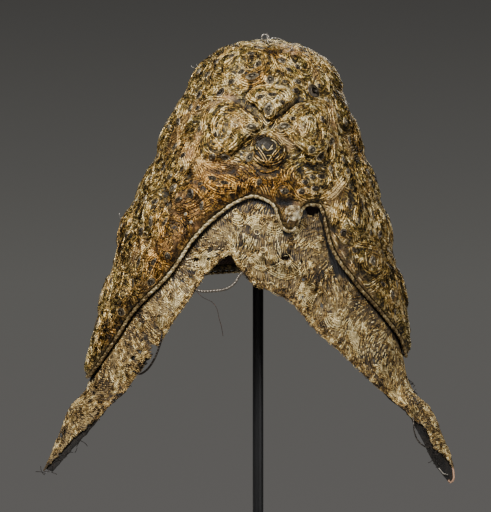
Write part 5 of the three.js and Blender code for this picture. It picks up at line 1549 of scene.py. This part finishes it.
def lace_room(along, share):
    """1 on the lace and 0 in its holes, in the dark gap beside the corded edge and past its worn edges."""
    turn, run = band_place(along, share)
    x, y = np.moveaxis(on_photo(on_lace(along, share)), -1, 0)
    fray = 1.2 * ripple(np.stack([x, y, 0 * x], -1), 7, 55)
    free = fade(run - hem_at(turn) - shaded_gap(turn), 0, 1.5)
    for frayed_part, edge_x, edge_y in (
            (x < 99, [42, 48.2, 60.4, 73.7, 91, 98], [472, 465.7, 452.4, 437, 424, 419]),
            (x > 411, [412, 422.6, 428, 432, 434.2, 441.6, 449, 455],
             [419.5, 424.7, 431, 441.6, 447.9, 453, 460.5, 470])):
        left = fade(np.interp(x, edge_x, edge_y) + fray - y, -0.5, 0.8)
        free = free * np.where(frayed_part, left, 1.0)
    gone = sum(((at[..., None] - lace_holes[:, i]) / lace_holes[:, i + 2]) ** 2
               for i, at in enumerate((x, y)))
    free = free * fade(gone.min(-1), 0.7, 1.3)
    return free * fade(share, -0.02, 0.02) * (1 - fade(share, 0.99, 1.03))


def beside_on_lace(along, share, x, y):
    """The place x mm along the band and y mm over it from another one. With a and s the steps along and over,
    e1 the direction of a and e2 the one square to it: y = (s.e2) q, and x = |a| p + (s.e1) q."""
    a = (on_lace(along + 0.002, share) - on_lace(along - 0.002, share)) / 0.004
    s = (on_lace(along, share + 0.01) - on_lace(along, share - 0.01)) / 0.02
    length = np.linalg.norm(a, axis=-1)
    lean = (s * a).sum(-1) / length
    wide = np.sqrt(np.maximum((s**2).sum(-1) - lean**2, 36))
    over = y / wide
    return along + (x - lean * over) / length, share + over


lace_length = np.linalg.norm(np.diff(on_lace(np.linspace(0, 1, 400), 0.5), axis=0), axis=-1).sum()
print(f"the lace is {lace_length:.0f} mm long along its middle")

# %% The ground of the lace
def bare_sheet(name, grid, open_cells, values, finish, replaces):
    """A grid of points as a sheet 0.8 mm thick, without its open cells. Also gives its area."""
    part = skin(grid, values=values)
    faces, uv = part["faces"][0]
    part["faces"] = [(faces[~open_cells.ravel()], uv[~open_cells.ravel()])]
    piece = put(name, [only_used(part)], finish, replaces)
    return piece, thicken(piece, 0.8)


along, share = np.meshgrid(np.linspace(0, 1, 470), np.linspace(0, 1, 31))
lace_turn, lace_run = band_place(along, share)
shade = 1 - fade(lace_run - hem_at(lace_turn) - shaded_gap(lace_turn), -0.5, 1.5)
cell_along, cell_share = along[:-1, :-1] + 0.5 / 469, share[:-1, :-1] + 0.5 / 30
cell_turn, cell_run = band_place(cell_along, cell_share)
behind_cord = fade(hem_at(cell_turn) + shaded_gap(cell_turn) + 3 - cell_run, 0, 1)
open_cells = np.maximum(lace_room(cell_along, cell_share), behind_cord) < 0.5
# the opening beside the tab is cut through to the cord: 7 pixels about its middle
beside_tab = np.linalg.norm(on_photo(on_lace(cell_along, cell_share)) - [312.5, 208.5], axis=-1) < 7
lace_cloth, area = bare_sheet("lace_ground", on_lace(along, share), open_cells | beside_tab, {
    "hollow": shade.ravel()}, lace_ground, ["lace_border"])
print(f"lace ground: {area * 1e4:.0f} cm2 in one layer")

# %% Threads of the lace
# x, y, radius in pixels and how much lighter or darker the lace's threads are painted there, as painted
# light and shade
lace_light_and_shade_patches = np.array([
    (262, 240, 26, 0.22), (285, 262, 22, 0.22), (232, 226, 20, 0.2), (180, 282, 26, 0.24),
    (325, 240, 18, -0.16), (352, 285, 16, -0.22), (322, 285, 14, -0.12), (100, 395, 30, -0.2),
    (60, 450, 24, -0.16), (345, 330, 24, 0.28), (375, 352, 22, 0.3), (405, 385, 18, 0.2),
    (440, 450, 20, -0.05), (130, 352, 16, -0.1),
])


def lace_light_and_shade(points):
    """Painted light and shade: lighter and darker patches, each fading with the distance d from its place
    as exp(-(d / r)^2).
    """
    middles = on_lace(*lace_seen_at(lace_light_and_shade_patches[:, :2]).T)
    gap = np.linalg.norm(points[..., None, :] - middles, axis=-1)
    return (lace_light_and_shade_patches[:, 3] * np.exp(-(gap / (lace_light_and_shade_patches[:, 2] * pixel_size)) ** 2)).sum(-1)


def lace_cords(along, share, radius, tone, closed=False, above=0.3):
    """Cords over the lace, which thin to nothing where there is no lace."""
    along, share = np.clip(along, 0.002, 0.998), np.clip(share, 0.0, 1.03)
    points, normals = on_lace(along, share, above), outward(*band_place(along, share))
    # The tone takes the patches of painted light and shade.
    return sweep(points, normals, radius * lace_room(along, share), closed=closed,
                 values={"tone": tone + 0.15 * ripple(points, 14, 92) + lace_light_and_shade(points)})


def fans(along, share, first, sector, outer, rays):
    """Threads like rays from a small hole, as straight paths between two radii, and arcs round them."""
    along, share, first, sector, outer = (
        np.reshape(value, (-1, 1, 1)) for value in (along, share, first, sector, outer))

    def cords(reach, angle, radius, tone, tall=1.0, closed=False):
        x, y = np.broadcast_arrays(reach * np.cos(angle), tall * reach * np.sin(angle))
        place = beside_on_lace(along, share, x, y)
        return lace_cords(*(p.reshape(-1, x.shape[-1]) for p in place), radius, tone, closed)

    reach = 2.6 + (outer - 2.6) * np.linspace(0, 1, 4)
    spread = first + sector * np.linspace(0, 1, rays)[:, None]
    tones = 0.5 + 0.6 * (np.tile(np.arange(rays) % 2, len(along))[:, None] - 0.4)
    arcs = outer + np.array([0.4, 1.9, 3.2])[:, None]
    return [cords(reach, spread, 0.36, tones),
            cords(arcs, first + sector * np.linspace(-0.05, 1.05, 20), 0.44, 0.6),
            cords(2.2, circle(12), 0.45, 0.65, 1.8 / 2.2, True)]


# x, y, then first angle, sector and reach in degrees and mm, for the fans that the photograph shows
seen_fans = np.array([
    (286, 258, 10, 110, 13), (263, 250, 60, 80, 12), (303, 279, -20, 90, 9), (196, 258, 30, 90, 11),
    (209, 259, 200, 100, 6), (187, 280, 20, 90, 9), (320, 290, 60, 90, 12), (340, 312, 40, 90, 10),
    (296, 236, 180, 120, 8), (257, 232, 190, 100, 9), (232, 246, 10, 90, 8), (170, 300, 20, 100, 9),
    (155, 318, 30, 90, 9), (361, 334, 60, 90, 11), (384, 362, 30, 90, 9), (137, 350, 20, 110, 7),
    (120, 366, 60, 130, 9), (398, 392, 30, 140, 8),
])
places = lace_seen_at(seen_fans[:, :2])
fan_parts = fans(*places.T, *np.radians(seen_fans[:, 2:4]).T, seen_fans[:, 4], 22)
rng = np.random.default_rng(101)
more_along = np.concatenate([np.linspace(0.03, 0.97, 27), np.linspace(0.05, 0.95, 26)])
more_share = np.repeat([0.3, 0.74], [27, 26]) + rng.uniform(-0.05, 0.05, 53)
gap = np.linalg.norm(on_lace(more_along, more_share)[:, None] - on_lace(*places.T)[None], axis=-1).min(1)
far, count = gap > 15, int((gap > 15).sum())
fan_parts += fans(more_along[far], more_share[far], rng.uniform(0, 2 * np.pi, count),
                  rng.uniform(1.0, 2.2, count), rng.uniform(5, 8, count), 16)
put("lace_fans", fan_parts, lace_thread)


def lace_filling(count, seed):
    """Short threads at random places, by area. Their heading is a smooth wave over the lace, so that they
    lie side by side in patches, and their length changes from patch to patch."""
    rng = np.random.default_rng(seed)
    grid = on_lace(along, share)
    cells = np.linalg.norm(np.cross(grid[1:, :-1] - grid[:-1, :-1], grid[:-1, 1:] - grid[:-1, :-1]), axis=-1)
    cell = rng.choice(cells.size, count, p=cells.ravel() / cells.sum())
    row, column = np.unravel_index(cell, cells.shape)
    place_along = (column + rng.random(count)) / (along.shape[1] - 1)
    place_share = (row + rng.random(count)) / (along.shape[0] - 1)
    spot = on_lace(place_along, place_share)
    heading = 1.3 + 1.1 * ripple(spot, 42, 102) + rng.normal(0, 0.12, count)
    long, short = rng.uniform(1.8, 3.4, count), rng.uniform(0.6, 1.1, count)
    half_length = np.where(ripple(spot, 30, 103) > -0.1, long, short)
    s = np.linspace(-1, 1, 4)[None] * half_length[:, None]
    bend = rng.uniform(-0.05, 0.05, (count, 1)) * s**2
    x, y = rotated(s, bend, heading[:, None])
    path_along, path_share = beside_on_lace(place_along[:, None], place_share[:, None], x, y)
    kept = lace_room(path_along, path_share).min(1) > 0.4
    return lace_cords(path_along[kept], path_share[kept], 0.36 * rng.uniform(0.8, 1.25, (kept.sum(), 1)),
                      0.3 + 0.55 * rng.random((kept.sum(), 1)), above=0.2)


put("lace_filling", [lace_filling(4400, 104)], lace_thread)

# %% The looped edge of the lace
trail_along = np.linspace(0.003, 0.997, 760)[None]
trail_share = 0.985 + 0.008 * np.sin(230 * trail_along) * np.sin(71 * trail_along)
inner_share = 0.93 + 0.012 * np.sin(2 * np.pi * 90 * trail_along)
loop_along = np.linspace(0.008, 0.992, 190)[:, None]
loop_size = 1.9 + 0.7 * np.sin(loop_along * 997)
loops = beside_on_lace(loop_along, np.full_like(loop_along, 0.985),
                       loop_size * np.cos(circle(10)), 1.04 * loop_size * np.sin(circle(10)))
trail_parts = [lace_cords(trail_along, trail_share, 0.7, 0.4),
               lace_cords(trail_along, inner_share, 0.55, 0.35),
               lace_cords(*loops, 0.42, 0.45, closed=True, above=0.1)]
put("lace_edge_trail", trail_parts, lace_thread)

# %% [markdown]
# ## Lining and backings
# The lining is brown linen, cut in gores and sewn in under the hem. Behind each lappet hangs a strip of
# black-brown silk. It has frayed past the lace on the left, and on the right it shows at the point, where
# the lace is gone, with a narrow pink binding.

# %% The lining
lining_turn = np.linspace(-180, 180, 169)[:-1]
lining_share = np.linspace(0.03, 1, 34)[:, None]
lining_run = lining_hem_at(lining_turn)[None] * lining_share
puckers = 0.21 * np.cos(np.radians(lining_turn) * 14)[None] * lining_share
lining_grid = off_form(lining_turn[None] + 0 * lining_run, lining_run, puckers - 6.6)
lining_part = closed_round(lining_grid, on_form(0.0, 0.0) - [0, 0, 6.6])
lining = put("linen_lining", [lining_part], brown_linen, ["lining"])
lining_area = thicken(lining, 0.7)
print(f"lining: {lining_area * 1e4:.0f} cm2")


# %% The backings of the lappets
def backing(name, first, last, low_share, replaces, fray, seed):
    """A strip behind the lace between two places along it, with a ragged lower edge."""
    along, share = np.meshgrid(np.linspace(first, last, 90), np.linspace(0.06, 1, 16))
    edge = low_share + fray * ripple(on_lace(along[0], 1.0), 5, seed)
    grid = on_lace(along, share * edge, -1.6)
    whole_cloth = np.zeros((grid.shape[0] - 1, grid.shape[1] - 1), bool)
    piece, area = bare_sheet(name, grid, whole_cloth, {}, dark_silk, [replaces])
    long, wide = (lengths_along(line)[-1] for line in (grid[grid.shape[0] // 2], grid[:, grid.shape[1] // 2]))
    print(f"{name}: {area * 1e4:.0f} cm2, about {long:.0f} mm long and {wide:.0f} mm wide in the middle")
    return piece, area


left_backing, left_area = backing("left_silk_backing", 0.004, 0.2, 0.98, "lappet_backing_left", 0.03, 111)
right_backing, right_area = backing("right_silk_backing", 0.74, 0.998, 0.985, "lappet_backing_right", 0.01,
                                    112)
# The pink binding of the right point, and one pale thread that is left of the lace there
rim_place = lace_seen_at(smooth_path([(453, 465), (455, 472), (454.8, 478), (451.5, 482), (448, 480.5)], 0.8))
thread_place = lace_seen_at(smooth_path([(439, 468), (443, 473), (448.5, 474.5)], 0.8))
ends = []
for place, size, above in ((rim_place, 0.75, 0.2), (thread_place, 0.35, 0.6)):
    line, normals = on_lace(*place.T, above - 1.2)[None], outward(*band_place(*place.T))[None]
    ends.append(sweep(line, normals, size, 6, values={"tone": np.full(line.shape[:2], 0.9)}))
put("right_binding", ends[:1], pink_silk)
put("last_lace_thread", ends[1:], bare_wire)


# %% [markdown]
# ## Frayed ends
# Where the cloth and the gold are worn, single threads stand out. Each starts at a place that the
# photograph shows and goes off in a seeded direction as a short curve.

# %% Single threads that stand out
def frayed(pixels, count, length, seed, on_crown=False, tone=0.05):
    """Fine threads that start at places and go off as short curves: base + way s + curl s^2."""
    rng = np.random.default_rng(seed)
    base = on_top(*seen_at(pixels).T) if on_crown else on_lace(*lace_seen_at(pixels).T, -1.0)
    base = np.repeat(base, count, axis=0)
    base = base + rng.normal(0, 1.2, base.shape) * [1, 0.3, 1]
    way, curl = rng.normal(size=(2, len(base), 3)) * [[[1, 0.35, 1]], [[0.8, 0.3, 0.8]]]
    s = np.linspace(0, 1, 6)[None, :, None]
    reach = length * rng.uniform(0.5, 1.2, (len(base), 1, 1))
    points = base[:, None] + reach * (unit(way)[:, None] * s + curl[:, None] * s**2 / 2)
    return sweep(points, np.broadcast_to([0.0, -1.0, 0.2], points.shape), 0.32, 3,
                 values={"tone": tone + 0.25 * rng.random((len(base), 1)) + 0 * points[..., 0]})


put("frayed_silk", [
    frayed([(408, 357), (410, 362), (412, 366), (404, 352), (401, 346)], 10, 4, 121),
    frayed([(97, 420), (90, 428), (82, 438), (74, 446), (66, 455), (58, 461), (51, 470), (45, 473)], 2, 6,
           122),
    frayed([(431, 445), (434, 455), (438, 464), (420, 424), (425, 430)], 5, 4, 123),
    frayed([(130, 384), (120, 372), (141, 350), (68, 455), (50, 473)], 3, 3.5, 124),
], red_silk)
put("frayed_gold", [
    frayed([(356.5, 140), (125, 221), (268, 42), (199, 69), (343, 104), (388, 246)], 6, 3.5, 125, True, 0.75),
    frayed([(295, 211), (290, 216), (184, 212), (290, 52)], 6, 3, 126, True, 0.7),
], bare_wire)

# %% [markdown]
# ## The display stand
# The stand is plain: a padded dome under the apex, a thin round rod and a flat disc. The dome follows the
# inside of the lining, so the cap rests on it without strain.

# %% Dome, post and base
dome_turn = np.linspace(-180, 180, 73)[:-1]
dome_shares = np.array([0.1, 0.22, 0.34, 0.5, 0.68, 0.84, 0.96, 1.0])
dome_rings = off_form(dome_turn[None], 30 * dome_shares[:, None] + 0 * dome_turn[None], -8.2)
dome_edge = dome_rings[-1]
dome_floor = dome_edge[:, 2].min() - 6
flat = np.stack([dome_edge[:, 0], dome_edge[:, 1], np.full(72, dome_floor)], -1)
down_side = np.stack([dome_edge + share * (flat - dome_edge) for share in (0.06, 0.5, 0.94, 1.0)])
under = np.stack([flat * [share, share, 1] for share in (0.97, 0.6, 0.25)])
dome_grid = np.concatenate([dome_rings, down_side, under])
dome_part = closed_round(dome_grid, on_form(0.0, 0.0) - [0, 0, 8.2], (0, 0, dome_floor))
dome = put("padded_dome", [dome_part], dome_felt, ["stand_dome"])


def turned(radii, heights, columns=96):
    """A turned form: rings of the given radii at the given heights, closed at both ends."""
    angle, radii, heights = circle(columns), np.array(radii)[:, None], np.array(heights, float)[:, None]
    grid = np.stack([radii * np.sin(angle), -radii * np.cos(angle), heights + 0 * angle], -1)
    return closed_round(grid, (0, 0, heights[0, 0]), (0, 0, heights[-1, 0]))


post_top = dome_floor - 0.3
put("steel_post", [turned([3.4, 3.8, 4, 4, 4, 4, 3.8, 3.4],
                          [post_top, post_top, post_top - 0.3, post_top - 4, 14, 10.6, 10.3, 10.3], 40)],
    steel_paint, ["stand_post"])
put("steel_base", [turned([20, 86, 88.4, 88.6, 89.9, 90, 90, 89.9, 88.6, 88.4, 86, 20],
                          [10, 10, 10, 9.95, 8.6, 8.4, 1.6, 1.4, 0.05, 0, 0, 0])],
    steel_paint, ["stand_base"])
print(f"dome floor at {dome_floor:.1f} mm")

# %% [markdown]
# ## Light, world and floor
# The studio is plain: a grey backdrop, one broad soft light from above on the left and a weaker one on the
# right. The floor is pale and lies under the frame's lower edge, as the photograph shows none.

# %% Floor
def floor_disc(radius):
    """A flat disc: rings of points at shares of the radius."""
    share, angle = np.array([[0.05], [0.35], [0.7], [1.0]]), circle(96)
    disc = np.stack([share * np.sin(angle), -share * np.cos(angle), 0 * share * angle], -1) * radius
    return closed_round(disc, (0, 0, 0))


pale_floor = cloth_finish("pale_floor", [(0.3, "#b9b6b0"), (0.7, "#c6c3bd")], 0.9, 3.0, strength=0.05)
floor_part = floor_disc(300.0)
floor_faces = [face.tolist() for faces, _ in floor_part["faces"] for face in faces]
floor_mesh = bpy.data.meshes.new("floor")
floor_mesh.from_pydata((floor_part["points"] * MM).tolist(), [], floor_faces)
floor_mesh.uv_layers.new(name="thread")
floor_mesh.materials.append(pale_floor)
floor = bpy.data.objects.new("floor", floor_mesh)
bpy.context.scene.collection.objects.link(floor)
floor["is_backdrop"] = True

# %% World and lights
world = bpy.data.worlds.new("grey_studio")
bpy.context.scene.world = world
world.use_nodes = True
sky = world.node_tree
height = add(sky, PARTS, {0: add(sky, PLACE, out="Generated")}, out="Z")
spread = add(sky, MATH, {0: height, 1: 5.0, 2: 0.5}, operation="MULTIPLY_ADD")
backdrop = add(sky, RAMP, {0: spread}, stops=[(0.0, "#605e5c"), (0.45, "#5c5b58"), (1.0, "#434240")])
sky.links.new(backdrop, sky.nodes["Background"].inputs["Color"])
sky.nodes["Background"].inputs["Strength"].default_value = 1.0


def soft_light(name, place, target, size, power):
    """A square area light at a place, turned to a target, in metres and watts."""
    data = bpy.data.lights.new(name, "AREA")
    data.shape, data.size, data.energy = "SQUARE", size, power
    lamp = bpy.data.objects.new(name, data)
    lamp.location = place
    way = unit(np.array(target) - np.array(place))
    lamp.rotation_euler = (np.arccos(-way[2]), 0, np.arctan2(-way[0], way[1]))
    bpy.context.scene.collection.objects.link(lamp)


soft_light("key_light", (-0.7, -1.1, 1.35), (0, 0, 0.25), 0.6, 42)
soft_light("fill_light", (1.2, -1.0, 0.6), (0, 0, 0.25), 0.8, 9)
soft_light("back_light", (0.3, 1.3, 1.0), (0, 0, 0.25), 0.8, 6)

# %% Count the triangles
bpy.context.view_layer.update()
total = sum(len(p.vertices) - 2 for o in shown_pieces() if o.type == "MESH" for p in o.data.polygons)
print("triangles in all:", total)
